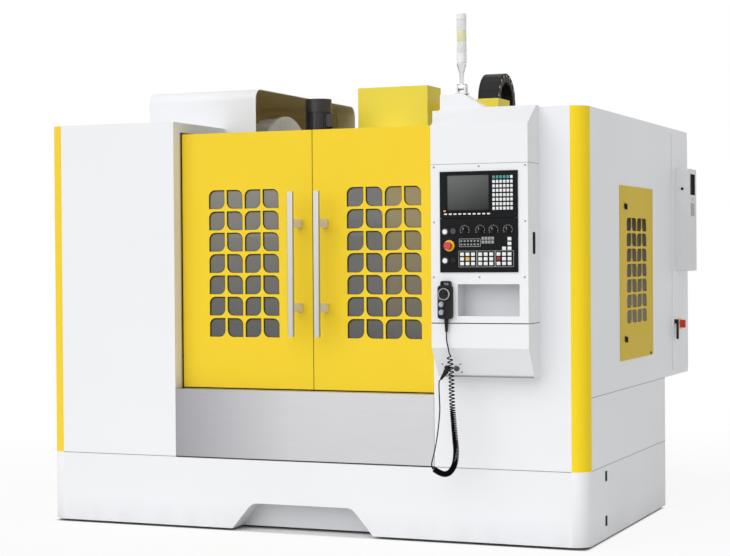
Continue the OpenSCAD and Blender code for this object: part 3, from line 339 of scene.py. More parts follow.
def filterMat(name, above, below):
    # darker at its top, where less light from the floor reaches it
    look = filterLook
    fibre = Finish(name, {"Specular IOR Level": 0.15, "Roughness": 0.75})
    up = (fibre.share("Z", "vent_door") * look["over"] - look["from"]).limited()
    tuft = fibre.noise(look["tuft"], 3)
    low = fibre.mix(tuft, shade(below, look["dark"]), below)
    high = fibre.mix(tuft, shade(above, look["dark"]), above)
    fibre.set("Base Color", fibre.mix(up, low, high))
    fibre.bump(tuft, look["depth"])
    return fibre.material


whiteCoat = powderCoat("whiteCoat", paint(241, 242, 245), 0.42)
trayCoat = powderCoat("trayCoat", paint(240, 241, 244), 0.45, dusty=True)
yellowCoat = powderCoat("yellowCoat", paint(249, 214, 48), 0.48, index=1.25)
# a paler copy of the doors' yellow for the hood and its screws: painted light on a hood that stands deeper in
hoodCoat = powderCoat("hoodCoat", paint(254, 234, 84), 0.48, index=1.25)
# a brighter copy of the yellow for the right trim only: painted light
trimCoat = powderCoat("trimCoat", paint(255, 222, 36), 0.42, index=1.25)
# a darker copy of the yellow for the vent door on the side: painted shade
ventCoat = powderCoat("ventCoat", paint(222, 190, 20), 0.48, index=1.25)
coolerCoat = powderCoat("coolerCoat", paint(226, 227, 229), 0.46)
# its left end in a painted shade
apronSteel = brushedSteel("apronSteel", paint(192, 192, 195), "X", 0.44, shadedLeft=paint(150, 150, 154))
handleSteel = brushedSteel("handleSteel", paint(182, 182, 180), "Z", 0.34)
coverSteel = brushedSteel("coverSteel", paint(190, 193, 196), "X", 0.33)
waySteel = groundSteel("waySteel", paint(182, 184, 186))
chrome = groundSteel("chrome", paint(226, 228, 231), 0.14)
knobSteel = groundSteel("knobSteel", paint(150, 156, 168), 0.30)
castGrey = castPaint("castGrey", paint(150, 155, 158))
headGrey = castPaint("headGrey", paint(206, 208, 210), 0.45)
wheelGrey = castPaint("wheelGrey", paint(236, 236, 232), 0.42)
motorBlack = castPaint("motorBlack", paint(34, 35, 37), 0.40)
panelBlack = mouldedPlastic("panelBlack", paint(16, 17, 19), 0.55, gloss=0.12)
plasticBlack = mouldedPlastic("plasticBlack", paint(20, 21, 23), 0.50, gloss=0.2)
gapBlack = mouldedPlastic("gapBlack", paint(16, 16, 17), 0.7, gloss=0.1)
seamDark = mouldedPlastic("seamDark", paint(66, 68, 70), 0.7, gloss=0.2)
# a shaded yellow for the painted shade along the doors' meeting edge
meetingOlive = mouldedPlastic("meetingOlive", paint(132, 110, 30), 0.7, gloss=0.1)
postSilver = mouldedPlastic("postSilver", paint(228, 227, 222), 0.34)
# a dark olive for the painted shade round the window leaves
sealOlive = mouldedPlastic("sealOlive", paint(50, 46, 24), 0.7, gloss=0.1)
seamGrey = mouldedPlastic("seamGrey", paint(150, 152, 154), 0.6, gloss=0.2)
# a greyer white for the faceplate's pocket and the tray's arch: painted shade in these recesses
pocketCoat = powderCoat("pocketCoat", paint(218, 219, 222), 0.5)
# a pale tan inside the magazine's hood: partly its paint, partly painted yellow bounce light
insideCoat = powderCoat("insideCoat", paint(240, 224, 178), 0.5)
gearPlate = brushedSteel("gearPlate", paint(196, 198, 196), "Y", 0.42)
gearGrey = mouldedPlastic("gearGrey", paint(176, 180, 182), 0.5)
gearPale = mouldedPlastic("gearPale", paint(224, 225, 221), 0.42)
gearDark = mouldedPlastic("gearDark", paint(58, 61, 66), 0.5)
gearCream = mouldedPlastic("gearCream", paint(218, 211, 190), 0.45)
keyWhite = mouldedPlastic("keyWhite", paint(238, 239, 240), 0.36)
keyGrey = mouldedPlastic("keyGrey", paint(150, 152, 154), 0.4)
keyTeal = mouldedPlastic("keyTeal", paint(64, 148, 150), 0.38)
keyAmber = mouldedPlastic("keyAmber", paint(232, 190, 70), 0.36)
keyRed = mouldedPlastic("keyRed", paint(150, 26, 26), 0.36)
switchRed = mouldedPlastic("switchRed", paint(206, 52, 38), 0.34)
switchYellow = mouldedPlastic("switchYellow", paint(244, 190, 30), 0.34)
printWhite = mouldedPlastic("printWhite", paint(205, 206, 207), 0.5)
filterGrey = filterMat("filterGrey", paint(58, 52, 44), paint(150, 147, 140))
filterDark = filterMat("filterDark", paint(34, 31, 26), paint(92, 89, 82))
windowGlass = smokedGlass("windowGlass")
darkScreen = screenGlass("darkScreen")
clearLens = lampLens("clearLens", paint(250, 251, 251))
paleLens = lampLens("paleLens", paint(251, 248, 206))
sheath = cordSheath("sheath")
print("finishes made:", len(bpy.data.materials))

nodeFinish = {
    castGrey: ["bed_casting", "column_casting", "saddle", "cam_box"],
    motorBlack: ["exchange_motor", "servo_motors", "spindle_motor", "levelling_feet"],
    whiteCoat: ["left_front_cover", "left_side_cover", "right_front_cover", "right_side_cover",
                "electrical_cabinet", "control_box", "control_faceplate", "magazine_cover", "cabinet_door"],
    trayCoat: ["coolant_tray"],
    yellowCoat: ["corner_trims", "left_door", "right_door"],
    hoodCoat: ["head_cover"],
    ventCoat: ["vent_door"],
    coolerCoat: ["air_conditioner"],
    apronSteel: ["front_apron"],
    handleSteel: ["left_handle", "right_handle", "tower_base"],
    waySteel: ["door_rail", "table", "x_screw", "y_screw", "spindle", "exchange_arm"],
    headGrey: ["spindle_head"],
    wheelGrey: ["magazine_wheel"],
    windowGlass: ["left_window", "right_window"],
    panelBlack: ["display_unit", "operator_panel"],
    plasticBlack: ["cabinet_handle", "mode_knob", "feed_knob", "spindle_knob", "rapid_knob", "pendant_body",
                   "pendant_dial", "cord_gland"],
    knobSteel: ["pendant_axis_knob", "pendant_step_knob"],
    switchRed: ["isolator_knob", "estop"],
    keyWhite: ["start_button", "hold_button"],
}
for finish, names in nodeFinish.items():
    for name in names:
        cad[name].data.materials.clear()
        cad[name].data.materials.append(finish)


def extent(name):
    # a node's box in machine millimetres, as (low, high) for X, Y and Z
    low, high = ((corner - at(0, 0, 0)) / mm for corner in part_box(name))
    return tuple(zip(low, high))


def around(middle, half):
    return (middle - half, middle + half)


def tint(name, finish, test):
    # faces whose middle and normal pass the test take the finish
    place = cad[name].matrix_world
    mesh = cad[name].data
    mesh.materials.append(finish)
    for face in mesh.polygons:
        middle = (place @ face.center - at(0, 0, 0)) / mm
        if test(middle, place.to_3x3() @ face.normal):
            face.material_index = len(mesh.materials) - 1


def within(x, y, z):
    return lambda spot, normal: x[0] < spot.x < x[1] and y[0] < spot.y < y[1] and z[0] < spot.z < z[1]


glandPlate = {"centre": Vector((946, -130.6, 964.9)), "out": Vector((0, -0.8451, -0.5347)), "thick": 2.5}
magazineMiddle = Vector([sum(side) / 2 for side in extent("magazine_cover")])


def insideHood(spot, normal):
    # faces turned to the hood's middle, and the inside of its left end
    facing = (magazineMiddle - spot).yz.dot(normal.yz) > 0.5
    return facing or normal.x > 0.9 and spot.x < magazineMiddle.x


def offGland(spot):
    # how far a spot stands out from the middle of the gland's plate
    return (spot - glandPlate["centre"]).dot(glandPlate["out"])


# where a node changes colour
tinted = {"pocketFrom": -199, "trayArch": ((-470, 450), (3, 150), (0, 172)),
          "coolerFan": ((1723, 1739.2), (2103.9, 2238.1), (1936.9, 2069.1)),
          "plateTop": glandPlate["thick"] + 0.3, "plugFrom": 950, "plugOut": 3}
gear = {"plateX": (1079.5, 1084.5), "x": (1084.5, 1262), "y": (1800, 2379), "z": (840, 2312),
        "rows": ((gearDark, (930, 1100)), (gearPale, (1370, 1470)), (gearDark, (1730, 1825)),
                 (gearCream, (2005, 2275)))}
# painted shade: the faceplate's pocket takes a greyer white
tint("control_faceplate", pocketCoat, lambda spot, normal: spot.y > tinted["pocketFrom"])
# painted light: the right trim takes a brighter yellow than the left
tint("corner_trims", trimCoat, lambda spot, normal: spot.x > 0)
# painted shade in the tray's arch
tint("coolant_tray", pocketCoat, within(*tinted["trayArch"]))
# partly painted bounce light: the hood's inside takes a pale tan
tint("magazine_cover", insideCoat, insideHood)
tint("air_conditioner", plasticBlack, within(*tinted["coolerFan"]))
tint("cord_gland", whiteCoat, lambda spot, normal: offGland(spot) < tinted["plateTop"])
tint("cord_gland", gearDark,
     lambda spot, normal: spot.x > tinted["plugFrom"] and offGland(spot) > tinted["plugOut"])
tint("electrical_cabinet", gearPlate, within(gear["plateX"], gear["y"], gear["z"]))
tint("electrical_cabinet", gearGrey, within(gear["x"], gear["y"], gear["z"]))
for finish, z in gear["rows"]:
    tint("electrical_cabinet", finish, within(gear["x"], gear["y"], z))

# small rounded edges on the sheet metal and the mouldings, by radius
edgeLook = {"join": 0.00002, "steps": 2, "sharper": 40}
edgeRound = {
    1.6: ["left_front_cover", "right_front_cover", "left_side_cover", "coolant_tray", "left_door",
          "right_door", "head_cover", "control_box", "air_conditioner", "magazine_cover", "front_apron"],
    0.8: ["vent_door", "cabinet_door", "control_faceplate", "left_handle", "right_handle", "cabinet_handle",
          "isolator_knob"],
    2.5: ["pendant_body", "estop", "spindle_motor", "servo_motors"],
    0.6: ["mode_knob", "feed_knob", "spindle_knob", "rapid_knob", "start_button", "hold_button",
          "pendant_dial", "pendant_axis_knob", "pendant_step_knob", "display_unit", "operator_panel"],
}
for radius, names in edgeRound.items():
    for name in names:
        weld = cad[name].modifiers.new("joined", "WELD")
        weld.merge_threshold = edgeLook["join"]
        bevel = cad[name].modifiers.new("rounded", "BEVEL")
        bevel.width = radius * mm
        bevel.segments = edgeLook["steps"]
        bevel.limit_method = "ANGLE"
        bevel.angle_limit = math.radians(edgeLook["sharper"])
        bevel.harden_normals = True
print("nodes dressed")


# a mesh gathered from blocks, turned parts and slabs, in machine millimetres
class Shape:
    def __init__(self):
        self.mesh = bmesh.new()

    def soften(self, edges, bevel, steps):
        bmesh.ops.bevel(self.mesh, geom=edges, offset=bevel * mm, segments=steps, affect="EDGES", profile=0.5)

    def block(self, x, y, z, bevel=0.0, steps=2):
        low, high = at(x[0], y[0], z[0]), at(x[1], y[1], z[1])
        size = high - low
        spot = Matrix.Translation((low + high) / 2) @ Matrix.Diagonal((*size, 1))
        made = bmesh.ops.create_cube(self.mesh, size=1, matrix=spot)
        if bevel:
            self.soften(list({edge for vert in made["verts"] for edge in vert.link_edges}), bevel, steps)
        return self

    # four bars round a rectangle that faces -Y
    def border(self, x, y, z, wide, bevel=0.0):
        for level in ((z[0], z[0] + wide), (z[1] - wide, z[1])):
            self.block(x, y, level, bevel)
        for side in ((x[0], x[0] + wide), (x[1] - wide, x[1])):
            self.block(side, y, z, bevel)
        return self

    # profile: (radius, distance along the axis) from the base, closed where a radius is 0
    def turned(self, base, axis, profile, sides=40):
        along = Vector(axis).normalized()
        across = along.orthogonal().normalized()
        beside = along.cross(across)
        angles = [2 * math.pi * k / sides for k in range(sides)]
        rings = []
        for radius, distance in profile:
            centre = at(*base) + along * distance * mm
            if radius == 0:
                rings.append([self.mesh.verts.new(centre)])
                continue
            spokes = [across * math.cos(angle) + beside * math.sin(angle) for angle in angles]
            rings.append([self.mesh.verts.new(centre + radius * mm * spoke) for spoke in spokes])
        for lower, upper in zip(rings, rings[1:]):
            for k in range(sides):
                steps = ((lower, k), (lower, k + 1), (upper, k + 1), (upper, k))
                corners = list(dict.fromkeys(ring[n % len(ring)] for ring, n in steps))
                if len(corners) > 2:
                    self.mesh.faces.new(corners)
        for ring, turnOver in ((rings[0], True), (rings[-1], False)):
            if len(ring) > 2 and profile[0] != profile[-1]:
                self.mesh.faces.new(ring[::-1] if turnOver else ring)
        return self

    # thick along X, with its outline in Y and Z
    def slab(self, low, high, outline, bevel=0.0):
        floor, roof = ([self.mesh.verts.new(at(level, *point)) for point in outline] for level in (low, high))
        faces = [self.mesh.faces.new(floor), self.mesh.faces.new(roof)]
        count = len(outline)
        for k in range(count):
            after = (k + 1) % count
            faces.append(self.mesh.faces.new([floor[k], floor[after], roof[after], roof[k]]))
        bmesh.ops.recalc_face_normals(self.mesh, faces=faces)
        if bevel:
            self.soften(list({edge for face in faces[:2] for edge in face.edges}), bevel, 2)
        return self

    # a flat ring between two outlines with as many points, thick along Y
    def ring(self, low, high, outer, inner):
        loops = [[self.mesh.verts.new(at(x, level, z)) for x, z in outline]
                 for level in (low, high) for outline in (outer, inner)]
        count = len(outer)
        for first, second in ((0, 1), (1, 3), (3, 2), (2, 0)):
            here, there = loops[first], loops[second]
            for k in range(count):
                after = (k + 1) % count
                self.mesh.faces.new([here[k], here[after], there[after], there[k]])
        return self

    def piece(self, name, finish):
        bmesh.ops.recalc_face_normals(self.mesh, faces=self.mesh.faces[:])
        data = bpy.data.meshes.new(name)
        self.mesh.to_mesh(data)
        self.mesh.free()
        data.materials.append(finish)
        return shown(name, data)

    def mount(self, name, finish, slot, body="frame"):
        return mounted(self.piece(name, finish), body)


smoothAngle = 40


def shown(name, data):
    # smooth up to that angle between two faces
    data.polygons.foreach_set("use_smooth", [True] * len(data.polygons))
    data.set_sharp_from_angle(angle=math.radians(smoothAngle))
    made = bpy.data.objects.new(name, data)
    bpy.context.scene.collection.objects.link(made)
    return made


def roundOutline(x, z, radius, steps=6):
    # radius: one for all, or one each for the corners high right, high left, low left and low right
    bends = radius if isinstance(radius, tuple) else (radius,) * 4
    points = []
    for bend, (sideX, sideZ, start) in zip(bends, ((1, 1, 0), (0, 1, 90), (0, 0, 180), (1, 0, 270))):
        middle = (x[sideX] + bend * (1 - 2 * sideX), z[sideZ] + bend * (1 - 2 * sideZ))
        for k in range(steps + 1):
            angle = math.radians(start + 90 * k / steps)
            points.append((middle[0] + bend * math.cos(angle), middle[1] + bend * math.sin(angle)))
    return points


def mounted(piece, body):
    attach(piece, body)
    return piece


# one Geometry Nodes tree that sets a part out by a rule
class Layout(Graph):
    def __init__(self, name, inputs):
        super().__init__(bpy.data.node_groups.new(name, "GeometryNodeTree"))
        face = self.tree.interface
        face.new_socket("Geometry", in_out="INPUT", socket_type="NodeSocketGeometry")
        self.ids = {}
        for label, kind in {"Part": "NodeSocketObject", "Finish": "NodeSocketMaterial", **inputs}.items():
            self.ids[label] = face.new_socket(label, in_out="INPUT", socket_type=kind).identifier
        face.new_socket("Geometry", in_out="OUTPUT", socket_type="NodeSocketGeometry")
        self.entry = self.tree.nodes.new("NodeGroupInput")
        self.exit = self.tree.nodes.new("NodeGroupOutput")

    def given(self, label):
        return Sock(self, self.entry.outputs[label])

    def vector(self, x, y, z):
        return self.add("ShaderNodeCombineXYZ", inputs={0: x, 1: y, 2: z})

    def total(self, first, second):
        return self.add("ShaderNodeVectorMath", {"operation": "ADD"}, {0: first, 1: second})

    def close(self, points, turn=None):
        part = self.add("GeometryNodeObjectInfo", inputs={"Object": self.given("Part")}, out="Geometry")
        sockets = {"Points": points, "Instance": part}
        if turn:
            sockets["Rotation"] = self.add("FunctionNodeEulerToRotation", inputs={0: turn})
        spread = self.add("GeometryNodeInstanceOnPoints", inputs=sockets)
        whole = self.add("GeometryNodeRealizeInstances", inputs={0: spread})
        finish = {"Geometry": whole, "Material": self.given("Finish")}
        self.feed(self.exit.inputs[0], self.add("GeometryNodeSetMaterial", inputs=finish))

    def grow(self, name, part, finish, values=None, spots=()):
        carrier = bpy.data.meshes.new(name + ".spots")
        carrier.from_pydata([tuple(spot) for spot in spots], [], [])
        base = bpy.data.objects.new(name + ".base", carrier)
        bpy.context.scene.collection.objects.link(base)
        rule = base.modifiers.new("layout", "NODES")
        rule.node_group = self.tree
        for label, value in {"Part": part, "Finish": finish, **(values or {})}.items():
            rule[self.ids[label]] = value
        bpy.context.view_layer.update()
        ready = base.evaluated_get(bpy.context.evaluated_depsgraph_get())
        data = bpy.data.meshes.new_from_object(ready)
        base.modifiers.remove(rule)
        for spent in (base, part):
            bpy.data.objects.remove(spent)
        return shown(name, data)


def gridLayout():
    grid = Layout("keyGrid", {"Columns": "NodeSocketInt", "Rows": "NodeSocketInt",
                              "Across": "NodeSocketFloat", "Up": "NodeSocketFloat",
                              "Corner": "NodeSocketVector"})
    columns, rows = grid.given("Columns"), grid.given("Rows")
    wide = grid.given("Across") * (columns - 1)
    tall = grid.given("Up") * (rows - 1)
    spread = {"Size X": wide, "Size Y": tall, "Vertices X": columns, "Vertices Y": rows}
    flat = grid.add("GeometryNodeMeshGrid", inputs=spread)
    middle = grid.total(grid.given("Corner"), grid.vector(wide * 0.5, 0.0, tall * 0.5))
    upright = {"Geometry": flat, "Translation": middle, "Rotation": (math.pi / 2, 0, 0)}
    grid.close(grid.add("GeometryNodeTransform", inputs=upright))
    return grid


def lineLayout():
    line = Layout("ribLine", {"Count": "NodeSocketInt", "Start": "NodeSocketVector",
                              "Step": "NodeSocketVector"})
    row = {"Count": line.given("Count"), "Start Location": line.given("Start"), "Offset": line.given("Step")}
    line.close(line.add("GeometryNodeMeshLine", inputs=row))
    return line


def arcLayout(name, plane):
    # plane XZ turns about Y, plane YZ turns about X
    arc = Layout(name, {"Count": "NodeSocketInt", "Radius": "NodeSocketFloat", "From": "NodeSocketFloat",
                        "Sweep": "NodeSocketFloat", "Centre": "NodeSocketVector"})
    row = arc.add("GeometryNodeMeshLine", inputs={"Count": arc.given("Count")})
    step = arc.add("GeometryNodeInputIndex")
    angle = arc.given("From") + arc.given("Sweep") * step / (arc.given("Count") - 1)
    sine, cosine = arc.given("Radius") * angle.sine(), arc.given("Radius") * angle.cosine()
    if plane == "XZ":
        reach = arc.vector(sine, 0.0, cosine)
        turn = arc.vector(0.0, angle, 0.0)
    else:
        reach = arc.vector(0.0, cosine, sine)
        turn = arc.vector(angle, 0.0, 0.0)
    spot = arc.total(arc.given("Centre"), reach)
    arc.close(arc.add("GeometryNodeSetPosition", inputs={"Geometry": row, "Position": spot}), turn)
    return arc


def spotLayout():
    spots = Layout("onSpots", {"Turn": "NodeSocketVector"})
    spots.close(spots.given("Geometry"), spots.given("Turn"))
    return spots


keyGrid = gridLayout()
ribLine = lineLayout()
tickArc = arcLayout("tickArc", "XZ")
linkArc = arcLayout("linkArc", "YZ")
onSpots = spotLayout()


def gridOf(name, part, finish, corner, count, pitch):
    values = {"Columns": count[0], "Rows": count[1], "Across": pitch[0] * mm, "Up": pitch[1] * mm,
              "Corner": corner}
    return keyGrid.grow(name, part, finish, values)


def lineOf(name, part, finish, count, start, step):
    values = {"Count": count, "Start": start, "Step": tuple(side * mm for side in step)}
    return ribLine.grow(name, part, finish, values)


def arcOf(layout, name, part, finish, centre, count, radius, begin, sweep):
    values = {"Count": count, "Radius": radius * mm, "From": begin, "Sweep": sweep, "Centre": centre}
    return layout.grow(name, part, finish, values)


# parts for the layouts are built about the frame's own origin
def partAt(shape, name):
    bmesh.ops.translate(shape.mesh, verts=shape.mesh.verts[:], vec=-at(0, 0, 0))
    return shape.piece(name, plasticBlack)


# a screw head with its socket, as shares of its radius and depth
headShares = ((1, 0), (1, 0.55), (0.8, 1), (0.42, 1), (0.38, 0.35), (0, 0.3))


def panHead(radius, depth):
    profile = [(radius * out, depth * up) for out, up in headShares]
    return partAt(Shape().turned((0, 0, 0), forward, profile, 18), "panHead")


def screws(name, spots, head, finish, body="frame", lean=0.0):
    heads = onSpots.grow(name, panHead(*head), finish, {"Turn": (lean, 0, 0)}, [at(*spot) for spot in spots])
    return mounted(heads, body)


markY = (-0.5, 0.2)


def scaleMark(wide, length):
    return partAt(Shape().block(around(0, wide / 2), markY, (0, length)), "tick")


panel = {"left": 908, "front": -206, "cap": 0.45, "capEdge": 1.2}


def keys(name, finish, corner, cap, count=(1, 1), pitch=(0, 0), lift=3.0):
    # corner: from the panel's left edge and from the floor
    grow = panel["cap"]
    wide, tall = cap[0] + 2 * grow, cap[1] + 2 * grow
    part = partAt(Shape().block((0, wide), (-lift - grow, 0), (0, tall), panel["capEdge"]), "keyCap")
    low = at(panel["left"] + corner[0] - grow, panel["front"], corner[1] - grow)
    return mounted(gridOf(name, part, finish, low, count, pitch), "frame")


def onPanel(spot, profile, sides=40):
    return Shape().turned((panel["left"] + spot[0], panel["front"], spot[1]), forward, profile, sides)


display = {"keysAt": (295.5, 1802.5), "columns": 6, "rows": 7, "pitch": (19.6, 23.4), "cap": (13, 15),
           "softAt": (26, 1779.5), "softCount": (10, 1), "softPitch": (26.6, 0), "softCap": (16, 7),
           "powerAt": (22, 1796), "powerCap": (12, 7), "powerLift": 1.5,
           "glassX": (42.3, 273.7), "glassY": (-205.0, -203.0), "glassZ": (1803.3, 1987.7),
           "rim": 7, "rimY": (-208.5, -205.5), "edge": 1.0}


def displayUnit():
    size = display
    left, low = size["keysAt"]
    last = left + (size["columns"] - 1) * size["pitch"][0]
    top = low + size["rows"] * size["pitch"][1]
    keys("dataKeys", keyWhite, (left, low), size["cap"], (size["columns"], size["rows"]), size["pitch"])
    keys("menuKeys", keyTeal, (left, top), size["cap"], (size["columns"] - 1, 1), size["pitch"])
    keys("resetKey", keyWhite, (last, top), size["cap"])
    keys("softKeyPrints", keyWhite, size["softAt"], size["softCap"], size["softCount"], size["softPitch"])
    keys("powerKey", keyAmber, size["powerAt"], size["powerCap"], lift=size["powerLift"])
    glassX, glassZ, rim = tuple(panel["left"] + x for x in size["glassX"]), size["glassZ"], size["rim"]
    face = Shape().block(glassX, size["glassY"], glassZ, size["edge"])
    face.mount("displayGlass", darkScreen, "panel_black")
    rimX, rimZ = ((side[0] - rim, side[1] + rim) for side in (glassX, glassZ))
    bezel = Shape().border(rimX, size["rimY"], rimZ, rim, size["edge"])
    bezel.mount("displayBezel", panelBlack, "panel_black")


console = {"handAt": (114.5, 1512.5), "groups": 3, "groupPitch": 101, "handPitch": (30.5, 24.6),
           "cap": (20, 17), "axisAt": (377.5, 1591.5), "axisPitch": (30, 25), "rapidAt": (347.5, 1591.5),
           "litLift": 3.4, "lampsAt": (116, 1618), "lampPitch": (18.5, 18), "lampCap": (10, 8),
           "numbersAt": (234, 1626), "numberPitch": (18, 20), "numberCap": (14, 15),
           "frames": (((105, 206), (1503, 1588)), ((206, 307), (1503, 1588)), ((307, 410), (1503, 1588)),
                      ((108, 227), (1610, 1652))), "line": 1.4, "lineOut": 0.5, "lineIn": 0.2}
knobs = {"x": {"mode_knob": 139, "feed_knob": 225, "spindle_knob": 299, "rapid_knob": 378}, "z": 1698,
         "marks": 13, "radius": 22.0, "from": -120, "sweep": 240, "mark": (1.6, 5.0),
         "pointerHalf": 1, "pointerY": (-230.6, -229.6), "pointerZ": (1699, 1711), "pointerEdge": 0.3}
# turned switches: where they stand, and their outlines as (radius, height)
switches = {
    "stopAt": (52, 1616),
    "collar": [(30.2, -0.5), (30.2, 2.6), (28, 3.8), (13, 3.8), (12, 3.0), (12, -0.5), (30.2, -0.5)],
    "lockAt": (76, 1693), "lock": [(16, -0.5), (16, 5), (14.5, 7.4), (9, 7.4), (8.4, 6.4), (0, 6.4)],
    "keyway": (1.2, 6), "keywayY": (-213.6, -212.2),
    "ringsAt": {"startRing": (30, 1690), "holdRing": (30, 1537)},
    "ring": [(18.6, -0.5), (18.6, 3.4), (17, 4.6), (14.2, 4.6), (13.6, 3.6), (13.6, -0.5), (18.6, -0.5)],
    "lampAt": (77, 1536), "lamp": [(17, -0.5), (17, 4), (15, 6), (13.6, 6), (13.6, 8), (12, 8.8), (0, 9.4)],
}


def operatorPanel():
    size, cap = console, console["cap"]
    left, low = size["handAt"]
    middle, second = left + size["handPitch"][0], low + size["handPitch"][1]
    for group in range(size["groups"]):
        corner = (left + group * size["groupPitch"], low)
        keys(f"handKeys{group}", keyWhite, corner, cap, (3, 3), size["handPitch"])
    keys("axisKeys", keyWhite, size["axisAt"], cap, (1, 3), size["axisPitch"])
    keys("rapidKey", keyWhite, size["rapidAt"], cap)
    keys("cycleKey", keyAmber, (middle, second), cap, lift=size["litLift"])
    keys("stopKey", keyRed, (left + 2 * size["groupPitch"], second), cap, lift=size["litLift"])
    keys("statusLamps", keyGrey, size["lampsAt"], size["lampCap"], (6, 2), size["lampPitch"])
    keys("numberKeys", keyGrey, size["numbersAt"], size["numberCap"], (4, 2), size["numberPitch"])
    # printed frames round the key groups
    prints = Shape()
    lineY = (panel["front"] - size["lineOut"], panel["front"] + size["lineIn"])
    for x, z in size["frames"]:
        prints.border((x[0] + panel["left"], x[1] + panel["left"]), lineY, z, size["line"])
    prints.mount("panelPrints", printWhite, "panel_black")
    begin, sweep = math.radians(knobs["from"]), math.radians(knobs["sweep"])
    for place, x in enumerate(knobs["x"].values()):
        centre = at(panel["left"] + x, panel["front"], knobs["z"])
        marks = arcOf(tickArc, f"knobScale{place}", scaleMark(*knobs["mark"]), printWhite, centre,
                      knobs["marks"], knobs["radius"], begin, sweep)
        mounted(marks, "frame")
    for name, x in knobs["x"].items():
        pointerX = around(panel["left"] + x, knobs["pointerHalf"])
        mark = Shape().block(pointerX, knobs["pointerY"], knobs["pointerZ"], knobs["pointerEdge"])
        mark.mount(name + "_mark", printWhite, "white_plastic", name)
    collar = onPanel(switches["stopAt"], switches["collar"], 48)
    collar.mount("stopCollar", switchYellow, "yellow_sheet")
    lockX, lockZ = switches["lockAt"]
    lock = onPanel((lockX, lockZ), switches["lock"])
    lock.block(around(panel["left"] + lockX, switches["keyway"][0]), switches["keywayY"],
               around(lockZ, switches["keyway"][1]))
    lock.mount("keyLock", gearDark, "silver_metal")
    for name, spot in switches["ringsAt"].items():
        onPanel(spot, switches["ring"]).mount(name, gearDark, "silver_metal")
    dark = onPanel(switches["lampAt"], switches["lamp"])
    dark.mount("holdLamp", plasticBlack, "black_plastic")


boxFace = {
    "screwY": -200, "screw": (5.0, 2.4), "screwsAt": ((874, 2033), (1126, 2033), (1380, 2033), (873, 1741),
                                                      (1380, 1741), (870, 1449), (1126, 1449), (1375, 1449)),
    "slotX": (1384, 1393.5), "slotY": (-121.7, -70.3), "slotZ": (1569.3, 1684.7),
    "slotBend": 9, "slotEdge": 0.6, "jointX": (855.5, 1394.5), "jointY": (-199.3, -197.9),
    "lowZ": (1203.3, 1207.7), "highZ": (2046.8, 2048.7),
    "sideX": (1394.5, 1395.4), "sideY": (-199, -4), "sideZ": ((1203.8, 1207.2), (2047.0, 2048.5)),
    "lowerEdge": ((884, 1394), (-107.8, -106), (915.5, 923)),
    "glandScrew": (4.2, 2.0), "glandScrewsAt": ((-50, -26), (-50, 26), (50, -26), (50, 26)),
}


def controlBox():
    size = boxFace
    screws("plateScrews", [(x, size["screwY"], z) for x, z in size["screwsAt"]], size["screw"], keyGrey)
    outline = roundOutline(size["slotY"], size["slotZ"], size["slotBend"])
    slot = Shape().slab(*size["slotX"], outline, size["slotEdge"])
    slot.mount("sideSlot", gapBlack, "black_plastic")
    for name, finish, z in (("lowJoint", gapBlack, size["lowZ"]), ("highJoint", seamGrey, size["highZ"])):
        joint = Shape().block(size["jointX"], size["jointY"], z)
        joint.mount(name, finish, "black_plastic")
    sides = Shape()
    for z in size["sideZ"]:
        sides.block(size["sideX"], size["sideY"], z)
    sides.mount("boxJoints", seamDark, "black_plastic")
    # painted shade: a grey strip along the box's lower front lip
    Shape().block(*size["lowerEdge"]).mount("lowerEdge", seamGrey, "black_plastic")
    out = glandPlate["out"]
    face = glandPlate["centre"] + out * glandPlate["thick"]
    rise = Vector((0, out.z, -out.y))
    spots = [face + Vector((across, 0, 0)) + rise * up for across, up in size["glandScrewsAt"]]
    screws("glandScrews", spots, size["glandScrew"], seamDark, lean=math.asin(-out.z))


seam = {"z": 414, "proud": 0.5, "sunk": 0.4, "flush": 0.05, "thin": 2.0, "thick": 4.0, "side": 1.5,
        "endX": 1560, "fromY": 90, "rightEnd": 5, "end": 1, "bedGap": 2, "wallX": 1650, "wallToY": 1752,
        "gapOut": (3, 1), "sill": 6, "jamb": (1, 8),
        "hoodScrew": (6, 3), "hoodScrewsAt": ((-121, 1400, 2391), (77, 1400, 2387))}


